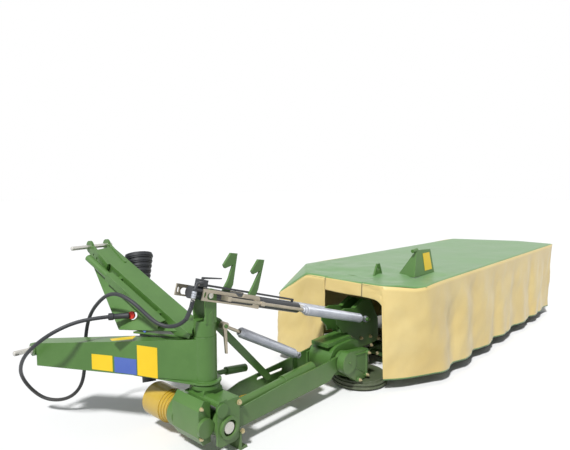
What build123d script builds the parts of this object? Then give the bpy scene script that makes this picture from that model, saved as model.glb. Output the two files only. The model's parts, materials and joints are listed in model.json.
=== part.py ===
from build123d import *
from math import pi, radians, tan
import os

# Rear-mounted side disc mower, parked on its cutter bar and on the foot of its hinge block.
# While it is drawn, the swing column stands on X = 0, Y = 0: X points outwards along the
# cutter bar, Y forwards to the tractor and Z up from the ground. Lengths are millimetres.

# Hitch: pins of the second category
hitch_x = -128            # middle of the hitch, beside the column
hitch_y = 840             # line of the hitch pins
pin_height = 450          # lower pins above ground
mast_rise = 535           # top link pin above the lower pins
lower_span = 825          # between the shoulders of the lower pins
lower_pin_d = 28
lower_pin_reach = 98      # free length outside the shoulder
top_pin_d = 25
top_pin_reach = 110       # free length outside the left ear
pin_fit = 0.3             # gap round a pin in its hole

# Headstock
arm_nose_w, arm_nose_h = 90, 125
arm_root_w, arm_root_h = 108, 222
arm_floor = 357           # underside of the arms
plate_t = 10              # general plate
barrel_r = 60             # bearing barrel round the swing column
barrel_top = 590
collar_r = 82             # round end of the bottom plate
ear_t = 14
ear_gap = 92              # between the mast ears
mast_w, mast_depth = 124, 70
mast_foot_x, mast_foot_y = -25, 98   # where the mast's centre line meets the arms
mast_plate_t = 8
stand_w = 44              # square tube of the stowed stand
stand_tube_r = 20         # its round top tube
stand_gap = 31            # from the mast's side to the stand
shaft_tube_r = 33         # guard tube of the parked drive shaft

# Swing column and hinge block
shaft_r = 45              # turns in the barrel
bearing_fit = 1.5
column_r = 57
column_top = 724
scoop_drop = 44           # the scooped top falls this far to the left
cheek_gap, cheek_t = 84, 12   # cheeks that carry the upper link
boss_y = 40               # faces of the barrel's trunnion bosses
link_z = 803              # upper link pivot
link_pin_r = 15
hinge_z = 150             # beam hinge
hinge_tube_r, hinge_bore_r = 52, 42
block_rear, block_front = -178, 90
block_left, block_right = -72, 75
flange_top = 340
input_x, input_z = -65, 165   # drive input axis, along Y
casting_r = 86
input_stub_r, input_seat_r = 17.5, 20   # splined end and its bearing seat
guard_r, guard_wall = 92, 5
guard_start, guard_end = 146, 360
foot_w, foot_t, foot_right = 90, 10, 122

# Lift beam
beam_rear, beam_front = -160, 70
beam_plate_t = 8
beam_left = 98
drive_y = -52             # axis of the drive tube inside the beam
knuckle_r = 64
fold_x, fold_z = 980, 222  # cutter fold axis at the gearbox
journal_r, journal_fit = 44, 0.6
fold_lug_r, fold_lug_t = 66, 20
cover_r = 71
casting_rear = -218

# Upper link: cylinder, plates, tie rods and relief springs
bracket_pin_x, bracket_pin_z = 1313, 418  # shared pin of the cylinder's rod and the springs
link_plate_y, link_plate_t = 60, 8
near_plate_left, far_plate_left = -62, -131
cylinder_r, cylinder_bore_r = 32, 24
cylinder_start, cylinder_end = -100, 742
first_rod_r, first_rod_bore_r, rod_r = 22, 14.6, 14
rod_fit = 0.6             # sliding gap round both rods
first_rod_start, first_rod_end = 330, 790
rod_start = 620
link_trough_z = 672         # floor of the gap under the barrel, between the cheeks
spring_y = 107
tie_rod_r = 9
coil_r, coil_bore_r = 31, 12
coil_start, coil_end = 705, 1290
eye_pin_r = 14
fork_y = 38               # half gap of the bracket's forked top, clear of the barrel

# Lower relief spring and stay bar
lug_x, lug_z = 112, 616
lug_y, lug_t = 16, 12
spring_line_y = -18
spring_foot_x, spring_foot_z = 705, 300
stay_top_x, stay_top_z = 130, 590
stay_foot_x, stay_foot_z = 500, 205
stay_w, stay_t, stay_y = 42, 10, 35
slot_right = 645          # end of the stay bar's slot

# Cutter bar
disc_count = 7
disc_first_x = 1465
end_room = 367            # from the last disc's axis to the deck's outer hem
disc_y = 130
knife_w, knife_t = 48, 4
bar_start, bar_end_room = 1206, 169
bar_w, bar_bottom, bar_top = 210, 62, 112
hub_r, hub_h = 52, 22
disc_t = 14
skid_w = 215

# Guard deck: tarpaulin and curtain
deck_top = 700
deck_inner, deck_outer = 1192, 4092
deck_rear, deck_front, deck_front_outer = -512, 600, 430
deck_hem_outer = 4004
corner_room, corner_y = 292, -190   # front outer corner is cut over this length
rear_cut_x, rear_cut_y = 1545, -318  # rear inner corner is cut likewise
hem = 72                  # curtain hem above ground
cloth_t = 5
arch_front, arch_top = 150, 608
flap_x, flap_y = 1345, 152
flap_gap = 5
lug_left, lug_right, lug_near = 1424, 1530, -100   # lifting lug through the tarpaulin
rail_r = 13

link_pivot = Vector(0, 0, link_z)
link_reach = Vector(bracket_pin_x, 0, bracket_pin_z) - link_pivot
link_span = link_reach.length
link_dir = link_reach.normalized()
link_plane = Plane(origin=link_pivot, x_dir=link_dir, z_dir=(0, -1, 0))
top_pin_z = pin_height + mast_rise
arm_mid_nose = arm_floor + 12 + arm_nose_h / 2
arm_mid_root = arm_floor + arm_root_h / 2
disc_pitch = (deck_hem_outer - end_room - disc_first_x) / (disc_count - 1)
disc_centres = [disc_first_x + i * disc_pitch for i in range(disc_count)]
disc_long, disc_short = 1.04 * disc_pitch, 0.62 * disc_pitch
knife_reach, knife_l = 0.663 * disc_pitch, 0.265 * disc_pitch
bar_end = deck_hem_outer - bar_end_room
corner_x = deck_outer - corner_room


def flat(points, y_low, y_high, holes=(), plane=Plane.XZ, mode=Mode.ADD):
    """Upright plate between two Y values, outline and round holes in its own plane."""
    with BuildSketch(plane.offset(-y_high)) as outline:
        with BuildLine():
            Polyline(*points, close=True)
        make_face()
        for a, b, r in holes:
            with Locations((a, b)):
                Circle(r, mode=Mode.SUBTRACT)
    extrude(outline.sketch, amount=y_high - y_low, mode=mode)


def round_y(a, b, radius, y_low, y_high, bore=0, plane=Plane.XZ, mode=Mode.ADD):
    """Round boss, pin or hole along Y."""
    with BuildSketch(plane.offset(-y_high)) as ring:
        with Locations((a, b)):
            Circle(radius)
            if bore:
                Circle(bore, mode=Mode.SUBTRACT)
    extrude(ring.sketch, amount=y_high - y_low, mode=mode)


def rod(start, end, radius, bore=0, mode=Mode.ADD):
    """Round bar or tube from one point to another."""
    a, b = Vector(*start), Vector(*end)
    with BuildSketch(Plane(origin=a, z_dir=b - a)) as ring:
        Circle(radius)
        if bore:
            Circle(bore, mode=Mode.SUBTRACT)
    extrude(ring.sketch, amount=(b - a).length, mode=mode)


def link_rod(start, end, radius, y=0.0, bore=0, mode=Mode.ADD):
    """Round bar or tube along the upper link, by its runs from the pivot."""
    a, b = link_pivot + link_dir * start, link_pivot + link_dir * end
    rod((a.X, y, a.Z), (b.X, y, b.Z), radius, bore, mode)


def floor_plate(points, z_low, thickness, mode=Mode.ADD):
    """Level plate from its plan outline."""
    with BuildSketch(Plane.XY.offset(z_low)) as outline:
        with BuildLine():
            Polyline(*points, close=True)
        make_face()
    extrude(outline.sketch, amount=thickness, mode=mode)


def panel(points, thickness, mode=Mode.ADD):
    """Flat panel with any lean, from the corners of one face."""
    corners = [Vector(*p) for p in points]
    normal = (corners[1] - corners[0]).cross(corners[2] - corners[0])
    face_plane = Plane(origin=corners[0], x_dir=corners[1] - corners[0], z_dir=normal)
    local = [face_plane.to_local_coords(c) for c in corners]
    with BuildSketch(face_plane) as outline:
        with BuildLine():
            Polyline(*[(c.X, c.Y) for c in local], close=True)
        make_face()
    extrude(outline.sketch, amount=thickness, mode=mode)


# Headstock: two tapered box arms, bearing barrel, bottom plate and top web
with BuildPart() as headstock_frame:
    for side in (-1, 1):
        nose_x = hitch_x + side * (lower_span - arm_nose_w) / 2
        nose = Vector(nose_x, hitch_y - 20, 0)
        run = Vector(0, 0, 0) - nose
        cross = Vector(0, 0, 1).cross(run).normalized()
        with BuildSketch(Plane(origin=nose + Vector(0, 0, arm_mid_nose), x_dir=cross, z_dir=run)):
            Rectangle(arm_nose_w, arm_nose_h)
        with BuildSketch(Plane(origin=Vector(0, 0, arm_mid_root), x_dir=cross, z_dir=run)):
            Rectangle(arm_root_w, arm_root_h)
        loft()
        boss_face = hitch_x + side * lower_span / 2
        with BuildSketch(Plane.YZ.offset(boss_face)):
            with Locations((hitch_y, pin_height)):
                Circle(36)
        extrude(amount=-side * arm_nose_w)
    floor_plate([(-collar_r + 3, -20), (-222, 330), (100, 330), (collar_r, 0)],
                arm_floor - plate_t, plate_t)
    web_top = arm_floor + arm_root_h
    floor_plate([(-30, 20), (-205, 350), (110, 350), (30, 20)], web_top - plate_t, plate_t)
    with Locations((0, 0, arm_floor - plate_t / 2)):
        Cylinder(collar_r, plate_t)
    with Locations((0, 0, (arm_floor - plate_t + barrel_top) / 2)):
        Cylinder(barrel_r, barrel_top - arm_floor + plate_t)
        Cylinder(shaft_r + bearing_fit, 400, mode=Mode.SUBTRACT)
    for side in (-1, 1):
        with BuildSketch(Plane.YZ.offset(hitch_x + side * lower_span / 2)):
            with Locations((hitch_y, pin_height)):
                Circle(lower_pin_d / 2 + pin_fit)
        extrude(amount=-side * (arm_nose_w + 20), mode=Mode.SUBTRACT)

# Lower link pins with shoulder collar and chamfered tip
with BuildPart() as lower_link_pins:
    for side in (-1, 1):
        face = hitch_x + side * lower_span / 2
        with BuildSketch(Plane.YZ.offset(face - side * arm_nose_w)):
            with Locations((hitch_y, pin_height)):
                Circle(lower_pin_d / 2)
        extrude(amount=side * (arm_nose_w + lower_pin_reach))
        with BuildSketch(Plane.YZ.offset(face + side * pin_fit)):
            with Locations((hitch_y, pin_height)):
                Circle(22)
        extrude(amount=side * 10)
        tip = lower_link_pins.edges().sort_by(Axis.X)[0 if side < 0 else -1]
        chamfer(tip, 5)

# Mast: inclined box, two ears for the top link, the wide left plate and brackets for the stand
mast_base = Vector(mast_foot_x, mast_foot_y, web_top + 20)
mast_end = Vector(hitch_x, hitch_y - 40, top_pin_z - 38)
mast_axis = mast_end - mast_base
mast_plane = Plane(origin=mast_base - mast_axis.normalized() * 60, x_dir=(1, 0, 0), z_dir=mast_axis)
stand_base = mast_base + Vector(-mast_w / 2 - stand_w / 2 - stand_gap, 83, 38)
stand_at = mast_plane.to_local_coords(stand_base)
shaft_low, shaft_high = Vector(-55, 445, 230), Vector(58, 706, 925)
with BuildPart() as mast:
    with BuildSketch(mast_plane):
        Rectangle(mast_w, mast_depth)
        Rectangle(mast_w - 16, mast_depth - 16, mode=Mode.SUBTRACT)
    extrude(amount=mast_axis.length + 55)
    with BuildSketch(mast_plane.offset(mast_axis.length + 20)):
        Rectangle(mast_w, mast_depth)
    extrude(amount=8)
    for side in (-1, 1):
        inner = hitch_x + side * ear_gap / 2
        with BuildSketch(Plane.YZ.offset(inner)):
            with BuildLine():
                Polyline((hitch_y + 6, top_pin_z - 36), (hitch_y - 35, top_pin_z + 10),
                         (hitch_y - 210, top_pin_z - 78), (hitch_y - 172, top_pin_z - 152), close=True)
            make_face()
            with Locations((hitch_y, top_pin_z)):
                Circle(36)
            with Locations((hitch_y, top_pin_z)):
                Circle(top_pin_d / 2 + pin_fit, mode=Mode.SUBTRACT)
            with Locations((hitch_y - 52, top_pin_z - 44), (hitch_y - 88, top_pin_z - 62)):
                Circle(9, mode=Mode.SUBTRACT)
        extrude(amount=side * ear_t)
    plate_top = Vector(hitch_x - 66, hitch_y - 45, top_pin_z - 90)
    plate_low = Vector(hitch_x - 112, 430, web_top)
    plate_foot = Vector(-84, 120, web_top + 20)
    plate_dir = (plate_low - plate_top).cross(plate_foot - plate_top)
    side_plane = Plane(origin=plate_top, x_dir=plate_low - plate_top, z_dir=plate_dir)
    corners = [side_plane.to_local_coords(p) for p in (plate_top, plate_low, plate_foot)]
    hose_park = side_plane.to_local_coords(Vector(hitch_x - 62, 380, 660))
    with BuildSketch(side_plane):
        with BuildLine():
            Polyline(*[(c.X, c.Y) for c in corners], close=True)
        make_face()
        with Locations((hose_park.X, hose_park.Y)):
            Circle(22, mode=Mode.SUBTRACT)
    extrude(amount=mast_plate_t)
    bracket_w = -mast_w / 2 + 1 - stand_at.X - stand_w / 2
    for run in (60, 400):
        with BuildSketch(mast_plane.offset(stand_at.Z + run)):
            with Locations((stand_at.X + stand_w / 2 + bracket_w / 2, stand_at.Y - 6)):
                Rectangle(bracket_w, 26)
        extrude(amount=24)
    rod((-50, 600, 815), (0, 628, 742), 10)
    rod(shaft_low, shaft_high, shaft_tube_r + pin_fit, mode=Mode.SUBTRACT)
    floor_plate([(-400, -300), (400, -300), (400, 1200), (-400, 1200)], 0, web_top, Mode.SUBTRACT)
    with Locations((0, 0, web_top)):
        Cylinder(barrel_r + 5, 400, mode=Mode.SUBTRACT)

# Top link pin through both ears, reaching out to the left
with BuildPart() as top_link_pin:
    left_end = hitch_x - ear_gap / 2 - ear_t - top_pin_reach
    with BuildSketch(Plane.YZ.offset(left_end)):
        with Locations((hitch_y, top_pin_z)):
            Circle(top_pin_d / 2)
    extrude(amount=top_pin_reach + ear_gap + 2 * ear_t + 22)
    chamfer(top_link_pin.edges().sort_by(Axis.X)[0], 4)

# Stowed stand beside the mast: square tube and a round top tube
with BuildPart() as stowed_stand:
    stand_plane = Plane(origin=stand_base, x_dir=(1, 0, 0), z_dir=mast_axis)
    with BuildSketch(stand_plane):
        Rectangle(stand_w, stand_w)
        Rectangle(stand_w - 8, stand_w - 8, mode=Mode.SUBTRACT)
    extrude(amount=470)
    with BuildSketch(stand_plane.offset(440)):
        Circle(stand_tube_r)
        Circle(stand_tube_r - 4, mode=Mode.SUBTRACT)
    extrude(amount=230)
    with BuildSketch(stand_plane.offset(440)):
        Rectangle(stand_w - 2, stand_w - 2)
    extrude(amount=30)

# Parked drive shaft: lower joint, tube and ribbed rubber cone
shaft_dir = (shaft_high - shaft_low).normalized()
with BuildPart() as drive_shaft:
    rod(shaft_low, shaft_low + shaft_dir * 70, shaft_tube_r + 5)
    rod(shaft_low + shaft_dir * 60, shaft_high - shaft_dir * 40, shaft_tube_r)
    for i in range(5):
        at = shaft_high - shaft_dir * (150 - 30 * i)
        rod(at, at + shaft_dir * 31, 56 + 6 * i)
        rod(at + shaft_dir * 9, at + shaft_dir * 20, 60 + 6 * i)

# Column: shaft in the barrel, scooped tube, two cheeks and the lug for spring and stay
scoop_z = column_top - scoop_drop
with BuildPart() as column:
    with Locations((0, 0, (flange_top + barrel_top + 20) / 2)):
        Cylinder(shaft_r, barrel_top + 20 - flange_top)
    with Locations((0, 0, (barrel_top + pin_fit + column_top) / 2)):
        Cylinder(column_r, column_top - barrel_top - pin_fit)
    flat([(-column_r - 3, scoop_z), (8, column_top + 1), (-column_r - 3, column_top + 1)],
         -70, 70, mode=Mode.SUBTRACT)
    for low in (-cheek_gap / 2 - cheek_t, cheek_gap / 2):
        flat([(-34, scoop_z - 20), (-36, link_z), (36, link_z), (34, scoop_z - 20)], low, low + cheek_t)
        round_y(0, link_z, 36, low, low + cheek_t)
    flat([(40, 692), (118, 646), (158, 604), (150, 568), (100, 584), (40, 604)], lug_y, lug_y + lug_t)
    round_y(stay_top_x, stay_top_z, 15, lug_y + lug_t, stay_y - 1)
    round_y(stay_top_x, stay_top_z, 11, lug_y, stay_y + stay_t + 5)
    round_y(lug_x, lug_z, 10, spring_line_y - 24, lug_y + lug_t)
    flat([(-80, link_trough_z), (-80, 760), (80, 760), (80, link_trough_z)],
         -cheek_gap / 2, cheek_gap / 2, mode=Mode.SUBTRACT)
    round_y(0, link_z, link_pin_r + pin_fit, -80, 80, mode=Mode.SUBTRACT)

# Trunnion pins of the upper link, one in each cheek up to the barrel's boss
with BuildPart() as link_pin:
    for low in (-cheek_gap / 2 - cheek_t - 1, boss_y + pin_fit):
        round_y(0, link_z, link_pin_r, low, low + cheek_gap / 2 + cheek_t + 1 - boss_y - pin_fit)

# Hinge block: flange, cheeks, top plate, hinge tube, the foot beside it and the breakaway strut
with BuildPart() as hinge_block:
    with Locations((0, 0, flange_top - 11)):
        Cylinder(76, 22)
    flat([(-58, flange_top - 20), (58, flange_top - 20), (66, 284), (-66, 284)], -60, 60)
    flat([(-58, 300), (-10, 300), (-10, 284), (-66, 284)], block_rear, -50)
    flat([(block_left, 276), (block_right - 4, 276), (block_right - 4, 290), (block_left, 290)],
         block_rear, block_front)
    cheek = [(block_left, 76), (block_left, 284), (-58, 292), (52, 292), (block_right, 262),
             (block_right, 76), (40, 62), (-52, 62)]
    flat(cheek, block_rear, block_rear + 12)
    flat(cheek, block_front - 12, block_front)
    round_y(0, hinge_z, hinge_tube_r, block_rear - 14, block_front + 2, bore=hinge_bore_r)
    round_y(0, hinge_z, hinge_tube_r + 6, block_rear - 14, block_rear, bore=hinge_bore_r)
    round_y(-42, 254, 36, block_rear - 8, block_rear)
    round_y(0, hinge_z, hinge_bore_r, block_rear - 20, block_front + 20, mode=Mode.SUBTRACT)
    flat([(block_right - 1, 0), (block_right - 1, 100), (block_right + 10, 100),
          (block_right + 10, foot_t), (foot_right, foot_t), (foot_right, 0)],
         block_rear - 4, block_rear + foot_w)
    strut_y = block_front + 24
    rod((30, strut_y, 316), (250, strut_y, 296), 14)
    rod((235, strut_y, 298), (385, strut_y, 276), 23)
    flat([(10, 230), (10, 320), (52, 334), (70, 300), (62, 230)], block_front, strut_y + 8)

# Input housing left of the hinge, with the drive's front flange
with BuildPart() as input_housing:
    left = block_left
    flat([(left, 84), (left, 290), (-112, 306), (-146, 262), (-148, 128), (-118, 80)],
         -124, block_front + 4)
    round_y(-112, 172, 48, -144, -124)
    round_y(input_x, input_z, casting_r, block_front + 3, guard_start - 6)
    round_y(input_x, input_z, 40, guard_start - 7, guard_start + 8)
    round_y(input_x, input_z, input_seat_r + 0.6, guard_start - 60, guard_start + 20, mode=Mode.SUBTRACT)

# Input stub
with BuildPart() as input_shaft:
    round_y(input_x, input_z, input_seat_r, guard_start - 40, guard_start + 14)
    round_y(input_x, input_z, input_stub_r, guard_start + 14, guard_start + 110)

# Yellow guard round the input: stepped rings, then a plain tube
with BuildPart() as pto_guard:
    steps = 4
    for i in range(steps):
        low = guard_start - 6 + i * 18
        r = guard_r - 5 * (steps - i)
        round_y(input_x, input_z, r, low, low + 19, bore=r - guard_wall - 5)
    round_y(input_x, input_z, guard_r, guard_start - 6 + steps * 18, guard_end, bore=guard_r - guard_wall)
    round_y(input_x, input_z, guard_r - 5 * steps, guard_start - 6, guard_start - 2, bore=42)

# Lift beam: knuckle tube, two side plates, floor at the outer end, fold lugs and drive tube
with BuildPart() as beam:
    round_y(0, hinge_z, knuckle_r, block_rear + 18, block_front - 18)
    rear = [(0, hinge_z - 34), (0, hinge_z + 34), (beam_left, 213), (500, 246), (683, 248), (925, 262),
            (925, 180), (850, 128), (beam_left, 110)]
    front = [(0, hinge_z - 34), (0, hinge_z + 34), (beam_left, 186), (180, 200), (296, 229), (694, 254),
             (925, 274), (925, 180), (850, 128), (beam_left, 110)]
    flat(rear, beam_rear, beam_rear + beam_plate_t)
    flat(front, beam_front - beam_plate_t, beam_front)
    for low in (beam_rear, beam_front - fold_lug_t):
        round_y(fold_x, fold_z, fold_lug_r, low, low + fold_lug_t)
        flat([(880, 258), (fold_x, fold_z + 40), (fold_x, fold_z - 40), (880, 160)], low, low + fold_lug_t)
        round_y(fold_x, fold_z, journal_r + journal_fit, low - 5, low + fold_lug_t + 5, mode=Mode.SUBTRACT)
    floor_plate([(550, beam_rear + 2), (550, beam_front - 2), (790, beam_front - 2),
                 (790, beam_rear + 2)], 128, 8)
    for x in (104, 540):
        floor_plate([(x, beam_rear + 2), (x, beam_front - 2), (x + 10, beam_front - 2),
                     (x + 10, beam_rear + 2)], 118, 40 if x < 200 else 24)
    with BuildSketch(Plane.XZ.offset(-beam_front - 1)) as slot:
        with Locations(((stay_foot_x - 60 + slot_right) / 2, stay_foot_z)):
            SlotCenterToCenter(slot_right - stay_foot_x + 60, 18)
    extrude(slot.sketch, amount=beam_plate_t + 2, mode=Mode.SUBTRACT)
    flat([(spring_foot_x - 26, 130), (spring_foot_x - 14, 290), (spring_foot_x + 14, 290),
          (spring_foot_x + 26, 130)], spring_line_y + 16, spring_line_y + 28)
    round_y(spring_foot_x, spring_foot_z, 22, spring_line_y + 16, spring_line_y + 28)
    rod((beam_left + 14, drive_y, 166), (531, drive_y, 188), 30)
    rod((530, drive_y, 188), (800, drive_y, 202), 38)
    flat([(600, 134), (600, 196), (624, 196), (624, 134)], drive_y - 38, drive_y + 38)
    round_y(0, hinge_z, hinge_tube_r + journal_fit, block_rear, block_front, mode=Mode.SUBTRACT)

# Lift cylinder: barrel with trunnion boss and closed left end
with BuildPart() as lift_cylinder:
    link_rod(cylinder_start, cylinder_end, cylinder_r)
    link_rod(cylinder_start + 18, cylinder_end + 1, cylinder_bore_r, mode=Mode.SUBTRACT)
    for low in (-boss_y, cylinder_bore_r + 2):
        round_y(0, 0, 26, low, low + boss_y - cylinder_bore_r - 2, plane=link_plane)

# Outer rod of the cylinder, with a guide ring in the barrel
with BuildPart() as outer_rod:
    link_rod(first_rod_start, first_rod_end, first_rod_r)
    link_rod(first_rod_start, first_rod_start + 30, cylinder_bore_r - rod_fit)
    link_rod(first_rod_start - 1, first_rod_end + 1, first_rod_bore_r, mode=Mode.SUBTRACT)

# Inner rod with its eye
with BuildPart() as lift_rod:
    link_rod(rod_start, link_span - 20, rod_r)
    round_y(link_span, 0, 26, -22, 22, plane=link_plane)
    round_y(link_span, 0, 11, -40, 40, plane=link_plane)

# Slotted link plates, one on each side, with the blocks that hold the tie rods
with BuildPart() as link_plates:
    for side, left_x in ((-1, near_plate_left), (1, far_plate_left)):
        start = left_x / link_dir.X
        low = link_plate_y if side > 0 else -link_plate_y - link_plate_t
        outline = [(start, -30), (start, 30), (150, 30), (176, 16), (206, 16), (216, 36), (330, 36),
                   (342, 20), (342, -34), (200, -30)]
        flat(outline, low, low + link_plate_t, plane=link_plane)
        with BuildSketch(link_plane.offset(-low - link_plate_t - 1)) as slot:
            with Locations(((start + 46 + 286) / 2, -4)):
                SlotCenterToCenter(286 - start - 46, 34)
            with Locations((start + 14, 0)):
                SlotCenterToCenter(16, 12, rotation=90)
        extrude(slot.sketch, amount=link_plate_t + 2, mode=Mode.SUBTRACT)
        far, near = side * (link_plate_y + link_plate_t / 2), side * (spring_y + 12)
        flat([(306, -12), (306, 12), (334, 12), (334, -12)], min(far, near), max(far, near), plane=link_plane)
        link_rod(60, 830, tie_rod_r, y=side * spring_y)
        flat([(60, -12), (60, 12), (84, 12), (84, -12)], min(far, near), max(far, near), plane=link_plane)

# Relief springs of the upper link: close-wound coils with end fittings and eyes
with BuildPart() as upper_springs:
    for side in (-1, 1):
        y = side * spring_y
        link_rod(coil_start, coil_end, coil_r, y=y)
        link_rod(coil_start - 14, coil_start, 24, y=y)
        link_rod(coil_start - 30, coil_start - 14, 17, y=y)
        link_rod(coil_start, coil_end - 12, coil_bore_r, y=y, mode=Mode.SUBTRACT)
        link_rod(coil_start - 40, coil_start + 1, tie_rod_r + pin_fit, y=y, mode=Mode.SUBTRACT)
        link_rod(coil_end, link_span - 10, 12, y=y)
        round_y(link_span, 0, 22, y - 11, y + 11, plane=link_plane)
        round_y(link_span, 0, eye_pin_r + pin_fit, y - 20, y + 20, plane=link_plane, mode=Mode.SUBTRACT)

# Transport hooks on the barrel
with BuildPart() as transport_hooks:
    for base_x, top_x, base_z, top_z, low in ((150, 212, 790, 985, 8), (308, 386, 742, 932, -24)):
        flat([(base_x - 24, base_z - 2), (base_x + 22, base_z + 60), (top_x - 6, top_z - 58),
              (top_x - 62, top_z - 70), (top_x - 74, top_z - 52), (top_x - 20, top_z + 8),
              (top_x + 26, top_z), (base_x + 54, base_z + 30), (base_x + 26, base_z - 14)],
             low, low + 14)
    link_rod(cylinder_start - 5, cylinder_end + 5, cylinder_r, mode=Mode.SUBTRACT)

# Shut-off valve with its lever, the pipe along the barrel, the elbow and the stiff sleeve of the hose
sleeve_end = (-130, -20, 704)
with BuildPart() as shut_off_valve:
    flat([(-67, 34), (-67, 72), (-9, 72), (-9, 34)], -22, 12, plane=link_plane)
    flat([(-48, 20), (-48, 36), (-28, 36), (-28, 20)], -12, 8, plane=link_plane)
    flat([(-44, 70), (-44, 84), (84, 96), (84, 90), (-26, 76)], -14, -4, plane=link_plane)
    flat([(-20, 40), (-20, 51), (694, 51), (694, 24), (683, 24), (683, 40)], -7, 5, plane=link_plane)
    link_rod(cylinder_start - 5, cylinder_end + 5, cylinder_r, mode=Mode.SUBTRACT)
    rod((-50, -20, 874), (-50, -46, 874), 7)
    rod((-42, -43, 874), (-82, -43, 874), 8)
    rod((-76, -43, 878), (-95, -44, 846), 9)
    rod((-92, -44, 852), (-106, -45, 806), 12)
    rod((-104, -45, 812), (-118.5, -40, 754), 10)
    rod((-116, -43, 764), sleeve_end, 11)

# Lower relief spring: spindle with an eye on the lug, coil with an eye on the beam
spring_pivot = Vector(lug_x, 0, lug_z)
spring_reach = Vector(spring_foot_x, 0, spring_foot_z) - spring_pivot
spring_dir = spring_reach.normalized()
spring_plane = Plane(origin=spring_pivot, x_dir=spring_dir, z_dir=(0, -1, 0))


def spring_rod(start, end, radius, mode=Mode.ADD):
    """Round length along the lower relief spring."""
    a, b = spring_pivot + spring_dir * start, spring_pivot + spring_dir * end
    rod((a.X, spring_line_y, a.Z), (b.X, spring_line_y, b.Z), radius, mode=mode)


with BuildPart() as spring_spindle:
    spring_rod(14, 330, 9)
    round_y(0, 0, 21, spring_line_y - 18, spring_line_y + 18, plane=spring_plane)
    round_y(0, 0, 10 + pin_fit, spring_line_y - 30, spring_line_y + 30, plane=spring_plane,
            mode=Mode.SUBTRACT)
    flat([(lug_x - 12, lug_z - 14), (lug_x + 10, lug_z - 14), (lug_x + 14, lug_z - 152),
          (lug_x + 1, lug_z - 150)], spring_line_y - 14, spring_line_y - 4)

with BuildPart() as lower_relief_spring:
    foot_run = spring_reach.length
    spring_rod(136, foot_run - 40, coil_r - 2)
    spring_rod(124, 137, 20)
    spring_rod(foot_run - 45, foot_run - 10, 12)
    spring_rod(100, foot_run - 60, coil_bore_r, mode=Mode.SUBTRACT)
    round_y(foot_run, 0, 20, spring_line_y - 14, spring_line_y + 14, plane=spring_plane)
    round_y(foot_run, 0, 10, spring_line_y - 18, spring_line_y + 16 - pin_fit, plane=spring_plane)

# Flat stay bar from the column's lug down to the beam's slot
stay_reach = Vector(stay_foot_x - stay_top_x, 0, stay_foot_z - stay_top_z)
stay_plane = Plane(origin=(stay_top_x, 0, stay_top_z), x_dir=stay_reach, z_dir=(0, -1, 0))
with BuildPart() as stay_bar:
    flat([(0, -stay_w / 2), (0, stay_w / 2), (stay_reach.length, stay_w / 2),
          (stay_reach.length, -stay_w / 2)], stay_y, stay_y + stay_t, plane=stay_plane)
    for run in (0, stay_reach.length):
        round_y(run, 0, stay_w / 2, stay_y, stay_y + stay_t, plane=stay_plane)
    round_y(0, 0, 11 + pin_fit, stay_y - 5, stay_y + stay_t + 5, plane=stay_plane, mode=Mode.SUBTRACT)

# Gearbox: round body on the fold axis, journals, near casting with cover and ribs
with BuildPart() as gearbox:
    inner_rear, inner_front = beam_rear + fold_lug_t + 8, beam_front - fold_lug_t - 8
    round_y(fold_x, fold_z, 98, inner_rear, inner_front)
    flat([(fold_x, fold_z - 98), (fold_x, fold_z + 98), (1120, 322), (1194, 300), (1194, 90), (1060, 84)],
         inner_rear, inner_front)
    flat([(886, 318), (886, 342), (1130, 346), (1160, 316)], inner_rear + 20, inner_front - 20)
    round_y(fold_x, fold_z, journal_r, casting_rear + 6, beam_front + 14)
    round_y(fold_x, fold_z, 58, beam_front + 6, beam_front + 16)
    near_back = beam_rear - 6
    round_y(fold_x, fold_z, cover_r, casting_rear, near_back)
    flat([(fold_x - 10, fold_z + 70), (1196, 262), (1204, 246), (1196, 84), (1176, 72), (1080, 66),
          (fold_x - 30, fold_z - 64)], casting_rear + 10, near_back)
    for x1, z1, x2, z2 in ((1010, 256, 1190, 240), (1010, 200, 1180, 96), (1178, 240, 1178, 96)):
        rod((x1, casting_rear + 12, z1), (x2, casting_rear + 12, z2), 7)
    for x, z in ((1187, 238), (1172, 92), (1088, 82)):
        round_y(x, z, 15, casting_rear - 2, near_back)
    flat([(1150, 92), (1150, 250), (1200, 250), (1200, 92)], near_back - 2, inner_rear + 4)
    rod((fold_x, casting_rear - 6, fold_z), (fold_x, casting_rear + 2, fold_z), 9)

# Bracket above the inner shoe: two cheeks, forked top plate and base
with BuildPart() as shoe_bracket:
    outline = [(1100, 352), (1083, 390), (1040, 432), (1036, 505), (1120, 520), (1236, 502), (1350, 546),
               (1440, 520), (1530, 372), (1540, 215), (1206, 215), (1200, 300), (1150, 352)]
    for low in (-68, 58):
        flat(outline, low, low + 10)
    flat([(1206, 205), (1206, 215), (1540, 215), (1540, 205)], -68, 68)
    flat([(1236, 502), (1350, 546), (1353, 538), (1239, 494)], -60, 60)
    flat([(1200, 502), (1362, 566), (1362, 520), (1200, 480)], -fork_y, fork_y, mode=Mode.SUBTRACT)
    flat([(1440, 520), (1530, 372), (1522, 367), (1432, 515)], -60, 60)
    flat([(1194, 112), (1194, 345), (1206, 345), (1206, 112)], -68, 68)
    flat([(1206, 112), (1206, 206), (1216, 206), (1216, 112)], 30, 68)
    for low in (-spring_y - 24, 67):
        round_y(bracket_pin_x, bracket_pin_z, eye_pin_r, low, low + spring_y + 24 - 67)

# Cutter bar: gear case with hubs
with BuildPart() as cutter_bar:
    flat([(bar_start, bar_bottom), (bar_start, bar_top), (bar_end, bar_top), (bar_end, bar_bottom)],
         disc_y - bar_w / 2, disc_y + bar_w / 2)
    for x in disc_centres:
        with Locations((x, disc_y, bar_top + (hub_h - pin_fit) / 2)):
            Cylinder(hub_r, hub_h - pin_fit)

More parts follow.
